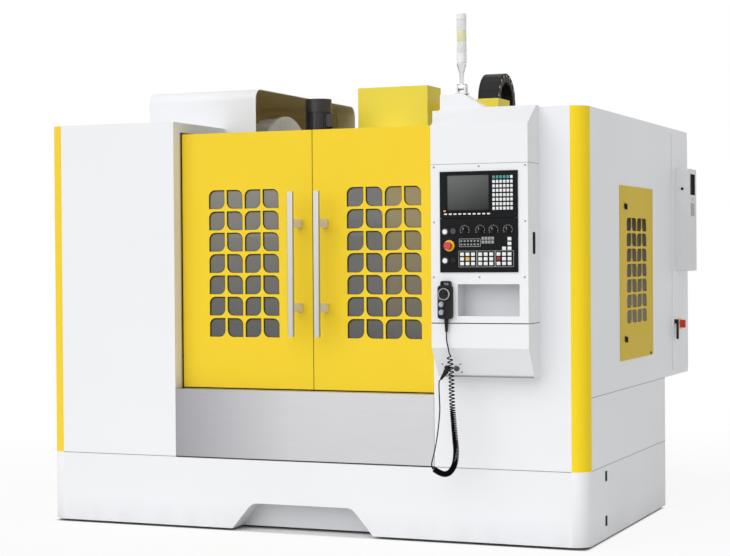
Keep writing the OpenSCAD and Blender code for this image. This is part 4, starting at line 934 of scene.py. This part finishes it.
def seams():
    # dark joints round the tray and under the cabinet, black strips of painted shade in the gaps beside the
    # doors, and the hood's screws
    size = seam
    frontY = (-size["proud"], size["sunk"])
    thin = Shape()
    for name in ("left_front_cover", "right_front_cover"):
        low, high = extent(name)[0]
        x = (max(low, -size["endX"]), min(high, size["endX"]))
        thin.block(x, frontY, around(size["z"], size["thin"]))
    (trayLeft, trayRight), (_, back), _ = extent("coolant_tray")
    bedLeft, bedRight = extent("bed_casting")[0]
    line = around(size["z"], size["side"])
    sunk, proud, start, end = (size[key] for key in ("sunk", "proud", "fromY", "end"))
    thin.block((trayRight - sunk, trayRight + proud), (start, back - size["rightEnd"]), line)
    thin.block((trayLeft - size["flush"], trayLeft + sunk), (start, back - end), line)
    for x in ((trayLeft + end, bedLeft - size["bedGap"]), (bedRight + size["bedGap"], trayRight - end)):
        thin.block(x, (back - sunk, back + proud), line)
    cabinetFoot = extent("electrical_cabinet")[2][0]
    thin.block((size["wallX"] - sunk, size["wallX"] + proud), (start, size["wallToY"]),
               around(cabinetFoot, size["side"]))
    thin.mount("coverJoints", seamGrey, "white_sheet")
    apronX, _, (_, apronTop) = extent("front_apron")
    thick = Shape().block(apronX, frontY, around(size["z"], size["thick"]))
    thick.mount("apronJoint", seamDark, "white_sheet")
    _, (face, _), (_, doorTop) = extent("left_door")
    gapY = tuple(face - reach for reach in size["gapOut"])
    # painted shade: black strips in the gaps below and at the left of the doors
    gapShade = Shape().block(apronX, gapY, (apronTop, apronTop + size["sill"]))
    gapShade.block(tuple(apronX[0] + reach for reach in size["jamb"]), gapY, (apronTop + size["sill"], doorTop))
    gapShade.mount("doorGaps", gapBlack, "black_plastic")
    screws("hoodScrews", size["hoodScrewsAt"], size["hoodScrew"], hoodCoat, "head")


leafSeal = {"wide": 100, "tall": 108, "bend": 38, "square": 1.5, "gap": 15, "margin": 20, "rows": 7,
            "tuck": 0.2, "deep": 3.2, "clear": 0.1, "inset": 3.6, "shift": 2.4}


def leafCorners(roundLeft, bend):
    square = leafSeal["square"]
    return (square, bend) * 2 if roundLeft else (bend, square) * 2


def leafShades():
    # a dark ring round each leaf of glass, a painted shade of the recess's walls, wider at the top and left
    # where those shaded walls show
    size = leafSeal
    wide, tall, tuck, margin = (size[key] for key in ("wide", "tall", "tuck", "margin"))
    across, up = wide + size["gap"], tall + size["gap"]
    near, far = size["inset"] + size["shift"], size["inset"] - size["shift"]
    for side in ("left", "right"):
        (left, _), (front, _), (foot, _) = extent(side + "_window")
        for column, roundLeft in enumerate((True, False)):
            outer = roundOutline((-tuck, wide + tuck), (-tuck, tall + tuck),
                                 leafCorners(roundLeft, size["bend"]))
            inner = roundOutline((near, wide - far), (far, tall - near),
                                 leafCorners(roundLeft, size["bend"] - size["inset"]))
            leaf = partAt(Shape().ring(-size["deep"], -size["clear"], outer, inner), "leafSeal")
            corner = at(left + margin + column * across, front, foot + margin)
            shadeRings = gridOf(f"{side}Seals{column}", leaf, sealOlive, corner, (2, size["rows"]),
                           (2 * across, up))
            mounted(shadeRings, side + "_door")


handlePost = {"wide": 17.4, "tall": 25, "at": (0.2, 0.78), "bar": 19, "clear": 0.1, "edge": 5.0}


def handlePosts():
    # thick posts under the handles' bars
    size = handlePost
    for side in ("left", "right"):
        x, y, z = extent(side + "_handle")
        posts = Shape()
        for share in size["at"]:
            level = z[0] + share * (z[1] - z[0])
            posts.block(around(sum(x) / 2, size["wide"]), (y[0] + size["bar"], y[1] - size["clear"]),
                        around(level, size["tall"]), size["edge"], 3)
        posts.mount(side + "HandlePosts", postSilver, "silver_metal", side + "_door")


meeting = {"left": 0.4, "right": 2.6, "proud": 0.4, "deep": 2, "end": 1}


# an olive strip along the right door's meeting edge: painted shade
def meetingSeal():
    size = meeting
    x, y, z = extent("right_door")
    stripX = (extent("left_door")[0][1] + size["left"], x[0] + size["right"])
    stripY = (y[0] - size["proud"], y[0] + size["deep"])
    strip = Shape().block(stripX, stripY, (z[0] + size["end"], z[1] - size["end"]))
    strip.mount("meetingSeal", meetingOlive, "black_plastic", "right_door")


handwheel = {"spot": (940, -246, 1360), "marks": 51, "radius": 25.5, "mark": (1.0, 4.2),
             "ring": [(31.2, -10), (31.2, 0.2), (30.0, 0.6), (29.2, 0.2), (29.2, -10), (31.2, -10)],
             "buttonAt": (911, -234, 1332), "button": [(5.8, -0.5), (5.8, 3.2), (5.0, 4.6), (0, 5.0)]}


def pendant():
    size = handwheel
    marks = arcOf(tickArc, "dialScale", scaleMark(*size["mark"]), printWhite, at(*size["spot"]),
                  size["marks"], size["radius"], 0.0, math.radians(360))
    mounted(marks, "pendant_dial")
    ring = Shape().turned(size["spot"], forward, size["ring"], 60)
    ring.mount("dialRing", printWhite, "white_plastic", "pendant_dial")
    button = Shape().turned(size["buttonAt"], forward, size["button"], 30)
    button.mount("enableButton", keyRed, "red_plastic")


ventSide = {
    "slotX": (1641, 1647.6), "slotY": (352.4, 401.6), "slotEdge": 0.8,
    "slotZ": {"lowSlot": (82.4, 138.6), "highSlot": (327.4, 383.6)},
    "meshY": (822, 1307), "meshZ": (1158, 1786), "back": 1646.4, "front": 1650.4,
    "sheet": 1.2, "sheetEdge": 0.4, "pitch": 7.0, "rib": 3.0, "ribFrom": 2, "ribBack": 1.0, "ribEdge": 0.6,
    "latchX": 1654.5, "latchY": 792, "latchZ": (1838, 1085), "gripX": (4, 15), "gripEdge": 1.5,
    "rose": [(17, -0.4), (17, 3), (14, 5), (9, 5.5), (8, 12), (0, 13)],
    "grip": ((-6, -20), (6, -20), (9, 12), (-9, 12)),
    "lockAt": (1385, 976), "lock": [(9, -0.4), (9, 3), (6, 5), (0, 5.4)],
}


def sideCovers():
    size = ventSide
    for name, z in size["slotZ"].items():
        insert = Shape().block(size["slotX"], size["slotY"], z, size["slotEdge"])
        insert.mount(name, gapBlack, "black_plastic")
    y, z, back = size["meshY"], size["meshZ"], size["back"]
    sheet = Shape().block((back, back + size["sheet"]), y, z, size["sheetEdge"])
    sheet.mount("ventFilter", filterDark, "dark_metal", "vent_door")
    deep = size["front"] - back - size["ribBack"]
    rib = partAt(Shape().block((0, deep), (0, size["rib"]), (0, z[1] - z[0]), size["ribEdge"], 1), "rib")
    count = int((y[1] - y[0]) / size["pitch"])
    start = at(back + size["ribBack"], y[0] + size["ribFrom"], z[0])
    ribs = lineOf("ventRibs", rib, filterGrey, count, start, (0, size["pitch"], 0))
    mounted(ribs, "vent_door")
    catches = Shape()
    x, y = size["latchX"], size["latchY"]
    for z in size["latchZ"]:
        catches.turned((x, y, z), toRight, size["rose"], 32)
        outline = [(y + along, z + up) for along, up in size["grip"]]
        catches.slab(x + size["gripX"][0], x + size["gripX"][1], outline, size["gripEdge"])
    catches.turned((x, *size["lockAt"]), toRight, size["lock"], 24)
    catches.mount("ventLatches", plasticBlack, "black_plastic", "vent_door")


# each plate: X, Y, Z and the rounding of its edges
cabinetFace = {
    "isolatorPlate": ((1654.5, 1662.6), (2115, 2185), (1086, 1156), 2.5),
    "coolerPlate": ((1736.5, 1738.9), (2116.4, 2225.6), (1805.4, 1884.6), 0.6),
    "coolerDisplay": ((1737.5, 1739.2), (2141.4, 2200.6), (1897.4, 1924.6), 0.5),
    "lockAt": (1697, 2063, 1975), "lock": [(9, -0.4), (9, 2.5), (7, 4), (0, 4.2)],
}


def cabinetSide():
    size = cabinetFace
    for name, finish, slot in (("isolatorPlate", switchYellow, "yellow_sheet"),
                               ("coolerPlate", keyGrey, "light_grey"),
                               ("coolerDisplay", printWhite, "light_grey")):
        Shape().block(*size[name]).mount(name, finish, slot, "cabinet_door")
    lock = Shape().turned(size["lockAt"], forward, size["lock"], 28)
    lock.mount("coolerLock", plasticBlack, "black_plastic", "cabinet_door")


gearFace = {"breakers": 9, "breakerPitch": 56, "breakerAt": (1153, 1852, 1417),
            "toggle": ((-0.5, 9), (-9, 9), (0, 14), 1.5),
            "drives": 5, "drivePitch": 106, "driveAt": (1261, 1825, 2150),
            "cover": ((-0.6, 1.2), (16, 76), (0, 54), 0.8)}


def switchgear():
    size = gearFace
    toggle = partAt(Shape().block(*size["toggle"]), "toggle")
    toggles = lineOf("breakerToggles", toggle, plasticBlack, size["breakers"], at(*size["breakerAt"]),
                     (0, size["breakerPitch"], 0))
    mounted(toggles, "frame")
    cover = partAt(Shape().block(*size["cover"]), "driveCover")
    covers = lineOf("driveCovers", cover, gearDark, size["drives"], at(*size["driveAt"]),
                    (0, size["drivePitch"], 0))
    mounted(covers, "frame")


tower = {
    "x": 967, "y": -9, "pivot": 2470,
    "boss": [(14, -16.5), (16, -14.5), (16, 14.5), (14, 16.5)],
    "pin": [(5.5, -27), (7, -25.5), (7, 25.5), (5.5, 27)],
    "pole": [(12, 2480), (12, 2546), (13.5, 2548), (20, 2570), (26, 2590), (27, 2592), (27, 2600),
             (24, 2601)],
    "foot": [(24, 2601), (27, 2602), (27, 2650), (25, 2651), (25, 2654), (24, 2654)],
    "cap": [(24, 2834), (27, 2835), (27, 2852), (25, 2853), (24.5, 2855), (26, 2856), (26, 2861),
            (22, 2867), (0, 2867)],
    "lensZ": 2654, "lensTall": 60, "lens": [(24, 0), (25.4, 2), (25.4, 56), (23.5, 58), (23.5, 60)],
    "ribs": 26, "ribOut": 25.4, "rib": [(1.2, 3), (1.2, 55)],
}


def signalTower():
    size, x, y = tower, tower["x"], tower["y"]
    metal = Shape().turned((x, y, size["pivot"]), toRight, size["boss"])
    metal.turned((x, y, size["pivot"]), toRight, size["pin"], 24)
    metal.turned((x, y, 0), upward, size["pole"])
    pole = metal.mount("towerPole", chrome, "silver_metal", "tower_light")
    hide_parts("tower_light")
    caps = Shape().turned((x, y, 0), upward, size["foot"])
    caps.turned((x, y, 0), upward, size["cap"])
    caps.mount("towerCaps", keyWhite, "white_plastic", "tower_light")
    # one ribbed lens above another
    for k, finish in enumerate((clearLens, paleLens, clearLens)):
        low = size["lensZ"] + k * size["lensTall"]
        lens = Shape().turned((x, y, low), upward, size["lens"])
        for n in range(size["ribs"]):
            angle = 2 * math.pi * n / size["ribs"]
            foot = (x + size["ribOut"] * math.cos(angle), y + size["ribOut"] * math.sin(angle), low)
            lens.turned(foot, upward, size["rib"], 6)
        lens.mount(f"towerLens{k}", finish, "lamp_plastic", "tower_light")


screwFit = {"slack": 0.3, "edge": 1, "sides": 64}


def zScrew():
    # finer facets and a little slack, so that it turns free of its bores
    x, y, z = extent("z_screw")
    edge, length = screwFit["edge"], z[1] - z[0]
    radius = (x[1] - x[0]) / 2 - screwFit["slack"]
    profile = [(radius - edge, 0), (radius, edge), (radius, length - edge), (radius - edge, length)]
    rod = Shape().turned((sum(x) / 2, sum(y) / 2, z[0]), upward, profile, screwFit["sides"])
    piece = rod.piece("zScrew", waySteel)
    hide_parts("z_screw")
    mounted(piece, "z_screw")


chain = {"x": (569, 699), "half": 30, "plate": 12, "plateEnd": 1.5, "plateEdge": 1.2, "bend": 13,
         "hingeIn": 3, "hingeHalf": 22, "hingeReach": 16, "stay": 6, "stays": ((-28, -2), (22, 5)),
         "pin": 9, "pinIn": 2, "centreY": 1580, "bendZ": 2526, "radius": 148, "links": 9,
         "endZ": 2090, "legLinks": 9, "frontZ": 2456,
         "stud": [(8, -0.5), (8, 0.8), (5, 1.6), (0, 1.8)], "studOut": 14,
         "anchorY": (1721, 1761), "anchorZ": (2064, 2094), "anchorEdge": 2, "farOff": 60}


def chainLink(length, lean=0.0):
    # two side plates, stays and a pin, standing along Z from the pin
    size, (left, right) = chain, chain["x"]
    shape = Shape()
    plateZ = (size["plateEnd"], length - size["plateEnd"])
    plate = roundOutline(around(0, size["half"]), plateZ, size["bend"], 4)
    hinge = roundOutline(around(0, size["hingeHalf"]), around(length, size["hingeReach"]), size["bend"], 4)
    for x in (left, right - size["plate"]):
        shape.slab(x, x + size["plate"], plate, size["plateEdge"])
        shape.slab(x + size["hingeIn"], x + size["plate"] - size["hingeIn"], hinge)
    for y, lap in size["stays"]:
        shape.block(size["x"], (y, y + size["stay"]), (-lap, length + lap), 1.0, 1)
    pin = [(size["pin"], 0), (size["pin"], right - left - 2 * size["pinIn"])]
    shape.turned((left + size["pinIn"], 0, 0), toRight, pin, 14)
    bmesh.ops.translate(shape.mesh, verts=shape.mesh.verts[:], vec=-at(0, 0, 0))
    bmesh.ops.rotate(shape.mesh, verts=shape.mesh.verts[:], matrix=Matrix.Rotation(lean, 3, "X"))
    return shape.piece("chainLink", plasticBlack)


def cableChain():
    size = chain
    step = math.pi / size["links"]
    length = 2 * size["radius"] * math.sin(step / 2)
    centre = at(0, size["centreY"], size["bendZ"])
    bend = arcOf(linkArc, "chainBend", chainLink(length, step / 2), plasticBlack, centre, size["links"],
                 size["radius"], 0.0, math.pi - step)
    stud = Shape()
    for x, way in zip(size["x"], (-1, 1)):
        stud.turned((x, 0, 0), (way, 0, 0), size["stud"], 14)
    studs = arcOf(linkArc, "chainStuds", partAt(stud, "chainStud"), keyAmber, centre, size["links"],
                  size["radius"] + size["studOut"], step / 2, math.pi - step)
    legStep = (size["bendZ"] - size["endZ"]) / size["legLinks"]
    start = at(0, size["centreY"] + size["radius"], size["endZ"])
    rear = lineOf("chainRear", chainLink(legStep), plasticBlack, size["legLinks"], start, (0, 0, legStep))
    anchor = Shape().block(size["x"], size["anchorY"], size["anchorZ"], size["anchorEdge"])
    anchor.mount("chainAnchor", plasticBlack, "black_plastic")
    start = at(0, size["centreY"] - size["radius"], size["frontZ"])
    front = lineOf("chainFront", chainLink(size["bendZ"] - size["frontZ"]), plasticBlack, 1, start, (0, 0, 0))
    # each piece's place is baked into its mesh
    far = Vector((0, 0, size["farOff"]))
    low, high, foot = (at(0, 0, size[key]) for key in ("endZ", "bendZ", "frontZ"))
    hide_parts("drag_chain")
    for piece, start, end in ((bend, high - far, high + far), (studs, high - far, high + far),
                              (rear, low, low + 2 * (high - low)), (front, foot + 2 * (high - foot), foot)):
        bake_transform(piece)


coverPlates = {"frontY": (306, 680), "rearY": (1320, 1716), "count": 4, "topZ": 672, "rise": 8.5, "half": 524,
               "widen": 4, "skirtZ": 580, "sheet": 3, "lip": 8, "lap": 20, "edge": 0.8}


def wayCovers():
    size, sheet, edge = coverPlates, coverPlates["sheet"], coverPlates["edge"]
    for name, (y0, y1), toFront in (("frontCovers", size["frontY"], True),
                                    ("rearCovers", size["rearY"], False)):
        shape = Shape()
        step = (y1 - y0) / size["count"]
        for k in range(size["count"]):
            rank = k if toFront else size["count"] - 1 - k
            top = size["topZ"] + size["rise"] * rank
            half = size["half"] + size["widen"] * rank
            low = y0 + k * step - (size["lap"] if toFront and k else 0)
            high = y0 + (k + 1) * step + (size["lap"] if not toFront and k < size["count"] - 1 else 0)
            shape.block((-half, half), (low, high), (top - sheet, top), edge)
            for x in (-half, half - sheet):
                shape.block((x, x + sheet), (low, high), (size["skirtZ"], top - sheet), edge)
            lip = (low, low + sheet) if toFront else (high - sheet, high)
            shape.block((-half, half), lip, (top - size["lip"], top - sheet), edge)
        piece = shape.piece(name, coverSteel)
        if toFront:
            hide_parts("way_covers")
            at(0, y0, 0)
            at(0, y1, 0)
            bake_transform(piece)
        else:
            at(0, y0, 0)
            at(0, y1, 0)
            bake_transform(piece)


# the route of the pendant's cord: straight end, curl, straight end into the plug's boot
cordRoute = {
    "down": [(945, -217, 1178), (945, -217, 1160), (945, -217, 1142), (947, -217, 1110), (956, -217, 1066)],
    "curl": [(960, -217, 1046), (963, -217, 1020), (971, -217, 940), (973, -217, 840), (976, -217, 760),
             (984, -217, 660), (990, -217, 590), (995, -217, 530), (987, -217, 462), (961, -217, 418),
             (931, -217, 405), (901, -217, 412), (872, -217, 428), (860, -218, 440)],
    "up": [(857, -219, 452), (860, -221, 470), (866, -222, 490), (874, -223, 520), (885, -223, 570),
           (897, -221, 650), (905, -219, 740), (902, -214, 800), (897, -205, 846)],
    "boot": (920, -166.07, 942.44), "bootOut": (-0.4917, -0.2754, -0.8261), "bootEnds": (62, 46, 40),
    "diameter": 6.4, "curlRadius": 13.2, "drawnIn": (24, 20),
    "pitch": [(0.0, 22.5), (0.34, 18.5), (0.42, 10.0), (0.56, 9.0), (0.64, 7.4), (1.0, 7.4)],
    "spacing": 0.4, "steps": 12, "length": 6.45,
}


def smoothThrough(points, steps):
    # a line that passes through every point without a kink
    points = [Vector(point) for point in points]
    line = []
    for k in range(len(points) - 1):
        before, here = points[max(k - 1, 0)], points[k]
        there, after = points[k + 1], points[min(k + 2, len(points) - 1)]
        slope = there - before
        sag = 2 * before - 5 * here + 4 * there - after
        twist = 3 * here - before - 3 * there + after
        for n in range(steps):
            t = n / steps
            line.append(0.5 * (2 * here + slope * t + sag * t * t + twist * t ** 3))
    return line + [points[-1]]


def between(marks, share):
    for (low, first), (high, second) in zip(marks, marks[1:]):
        if share <= high:
            return first + (second - first) * (share - low) / (high - low)
    return marks[-1][1]


def curlTurns(axis):
    # a helix about the axis, open at the top and tight below, drawn in at both ends
    lengths = [(b - a).length for a, b in zip(axis, axis[1:])]
    whole = sum(lengths)
    heading = [(axis[min(k + 1, len(axis) - 1)] - axis[max(k - 1, 0)]).normalized() for k in range(len(axis))]
    beside = Vector((0, 1, 0))
    turns, phase, walked = [], 0.0, 0.0
    for k, length in enumerate(lengths):
        count = max(1, round(length / cordRoute["spacing"]))
        for n in range(count):
            share = n / count
            gone = walked + share * length
            pitch = between(cordRoute["pitch"], gone / whole)
            ends = min(1.0, gone / cordRoute["drawnIn"][0], (whole - gone) / cordRoute["drawnIn"][1])
            reach = ends * ends * (3 - 2 * ends)
            across = heading[k].lerp(heading[k + 1], share).normalized().cross(beside)
            swing = across * math.cos(phase) + beside * math.sin(phase)
            turns.append(axis[k].lerp(axis[k + 1], share) + cordRoute["curlRadius"] * reach * swing)
            phase += 2 * math.pi * length / count / pitch * reach
        walked += length
    return turns


def pendantCord():
    boot, out = Vector(cordRoute["boot"]), Vector(cordRoute["bootOut"])
    tail = [tuple(boot + out * reach) for reach in cordRoute["bootEnds"]]
    line = smoothThrough(cordRoute["down"] + cordRoute["curl"] + cordRoute["up"] + tail, cordRoute["steps"])
    first = len(cordRoute["down"]) * cordRoute["steps"]
    last = first + (len(cordRoute["curl"]) - 1) * cordRoute["steps"]
    path = line[:first] + curlTurns(line[first:last + 1]) + line[last:]
    curve = bpy.data.curves.new("pendantCord", "CURVE")
    curve.dimensions = "3D"
    spline = curve.splines.new("POLY")
    spline.points.add(len(path) - 1)
    for point, spot in zip(spline.points, path):
        point.co = (*at(*spot), 1)
    curve.bevel_depth = cordRoute["diameter"] / 2 * mm
    curve.bevel_resolution = 4
    curve.use_fill_caps = True
    curve.materials.append(sheath)
    cord = bpy.data.objects.new("pendantCord", curve)
    bpy.context.scene.collection.objects.link(cord)
    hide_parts("cord_lead", "cord_curl")
    mounted(cord, "frame")
    measured = sum((b - a).length for a, b in zip(path, path[1:])) * mm
    print("cord points", len(path), "length", round(measured, 3))
    at(*path[0])


displayUnit()
operatorPanel()
controlBox()
pendant()
seams()
leafShades()
handlePosts()
meetingSeal()
print("controls made")
sideCovers()
cabinetSide()
switchgear()
signalTower()
print("fittings made")
zScrew()
cableChain()
wayCovers()
pendantCord()
print("moving covers and cord made")

viewer = {"spot": (4205.8, -9110.8, 1562.7), "yaw": 22.731, "pitch": -0.69, "roll": -0.419,
          "lens": 88.16, "sensor": 36.0, "sees": 200}


def camera():
    yaw, pitch, roll = (math.radians(viewer[name]) for name in ("yaw", "pitch", "roll"))
    ahead = Vector((-math.sin(yaw) * math.cos(pitch), math.cos(yaw) * math.cos(pitch), math.sin(pitch)))
    right = Vector((math.cos(yaw), math.sin(yaw), 0))
    up = right.cross(ahead)
    right, up = right * math.cos(roll) + up * math.sin(roll), up * math.cos(roll) - right * math.sin(roll)
    lens = bpy.data.cameras.new("camera")
    lens.lens = viewer["lens"]
    lens.sensor_width = viewer["sensor"]
    lens.sensor_fit = "HORIZONTAL"
    lens.clip_end = viewer["sees"]
    eye = bpy.data.objects.new("camera", lens)
    bpy.context.scene.collection.objects.link(eye)
    turn = Matrix((right, up, -ahead)).transposed().to_4x4()
    eye.matrix_world = Matrix.Translation(at(*viewer["spot"])) @ turn
    bpy.context.scene.camera = eye


studio = {"world": 0.50, "key": 1.60, "keyFrom": (-0.22, -0.78, 0.58), "keySpread": 70,
          "fill": 0.05, "fillFrom": (0.75, -0.45, 0.5), "fillSpread": 60}


def seenIn(graph):
    # 1 for what the camera sees, also by mirror and through glass
    path = graph.tree.nodes.new("ShaderNodeLightPath")
    seen = Sock(graph, path.outputs["Is Camera Ray"])
    for name in ("Is Glossy Ray", "Is Transmission Ray"):
        seen = seen.maths("MAXIMUM", seen, Sock(graph, path.outputs[name]))
    return seen


def background():
    # a white ground to look at, and a softer one to light by
    world = bpy.data.worlds.new("studio")
    bpy.context.scene.world = world
    world.use_nodes = True
    sky = Graph(world.node_tree)
    sky.tree.nodes.clear()
    seen = seenIn(sky)
    strength = seen + (1 - seen) * studio["world"]
    ground = sky.add("ShaderNodeBackground", inputs={"Color": (1, 1, 1, 1), "Strength": strength})
    surface = sky.tree.nodes.new("ShaderNodeOutputWorld")
    sky.feed(surface.inputs["Surface"], ground)


def lamps():
    for name in ("key", "fill"):
        sun = bpy.data.lights.new(name, "SUN")
        sun.energy = studio[name]
        sun.angle = math.radians(studio[name + "Spread"])
        lamp = bpy.data.objects.new(name, sun)
        lamp.rotation_euler = Vector(studio[name + "From"]).to_track_quat("Z", "Y").to_euler()
        bpy.context.scene.collection.objects.link(lamp)


floorLook = {"radius": 16.0, "centreY": 1000, "levels": (-1.0, -0.2), "plainFrom": 2.6, "plainTo": 6.0,
             "shown": 0.12, "edge": 0.02, "tone": 0.86, "rough": 0.9, "gloss": 0.1}


def floor():
    # white to look at, with the machine's own soft shadow near it
    look = floorLook
    profile = [(look["radius"] / mm, level) for level in look["levels"]]
    disc = Shape().turned((0, look["centreY"], 0), upward, profile, 96)
    ground = Finish("paleFloor", {"Base Color": (look["tone"],) * 3 + (1,), "Roughness": look["rough"],
                                  "Specular IOR Level": look["gloss"]})
    across, along = ground.axis("X"), ground.axis("Y")
    squared = across * across + along * along
    reach = squared.maths("SQRT", squared)
    plain = ((reach - look["plainFrom"]) / (look["plainTo"] - look["plainFrom"])).limited()
    white = ground.add("ShaderNodeEmission", inputs={"Color": (1, 1, 1, 1), "Strength": 1.0})
    # in full shade under the machine
    low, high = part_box("coolant_tray")
    middle, half = (low + high) / 2, (high - low) / 2
    under = 1.0
    for place, name in ((across - middle.x, "x"), (along - middle.y, "y")):
        inside = getattr(half, name) - place.maths("ABSOLUTE", place)
        under = under * (inside / look["edge"]).limited()
    amount = seenIn(ground) * (1 - look["shown"] * (1 - plain)) * (1 - under)
    lit = Sock(ground, ground.shader.outputs[0])
    both = ground.add("ShaderNodeMixShader", inputs={0: amount, 1: lit, 2: white})
    ground.feed(ground.surface.inputs["Surface"], both)
    disc.piece("floor", ground.material)


camera()
background()
lamps()
floor()
bpy.context.scene.view_settings.view_transform = "Standard"
print("stage set")
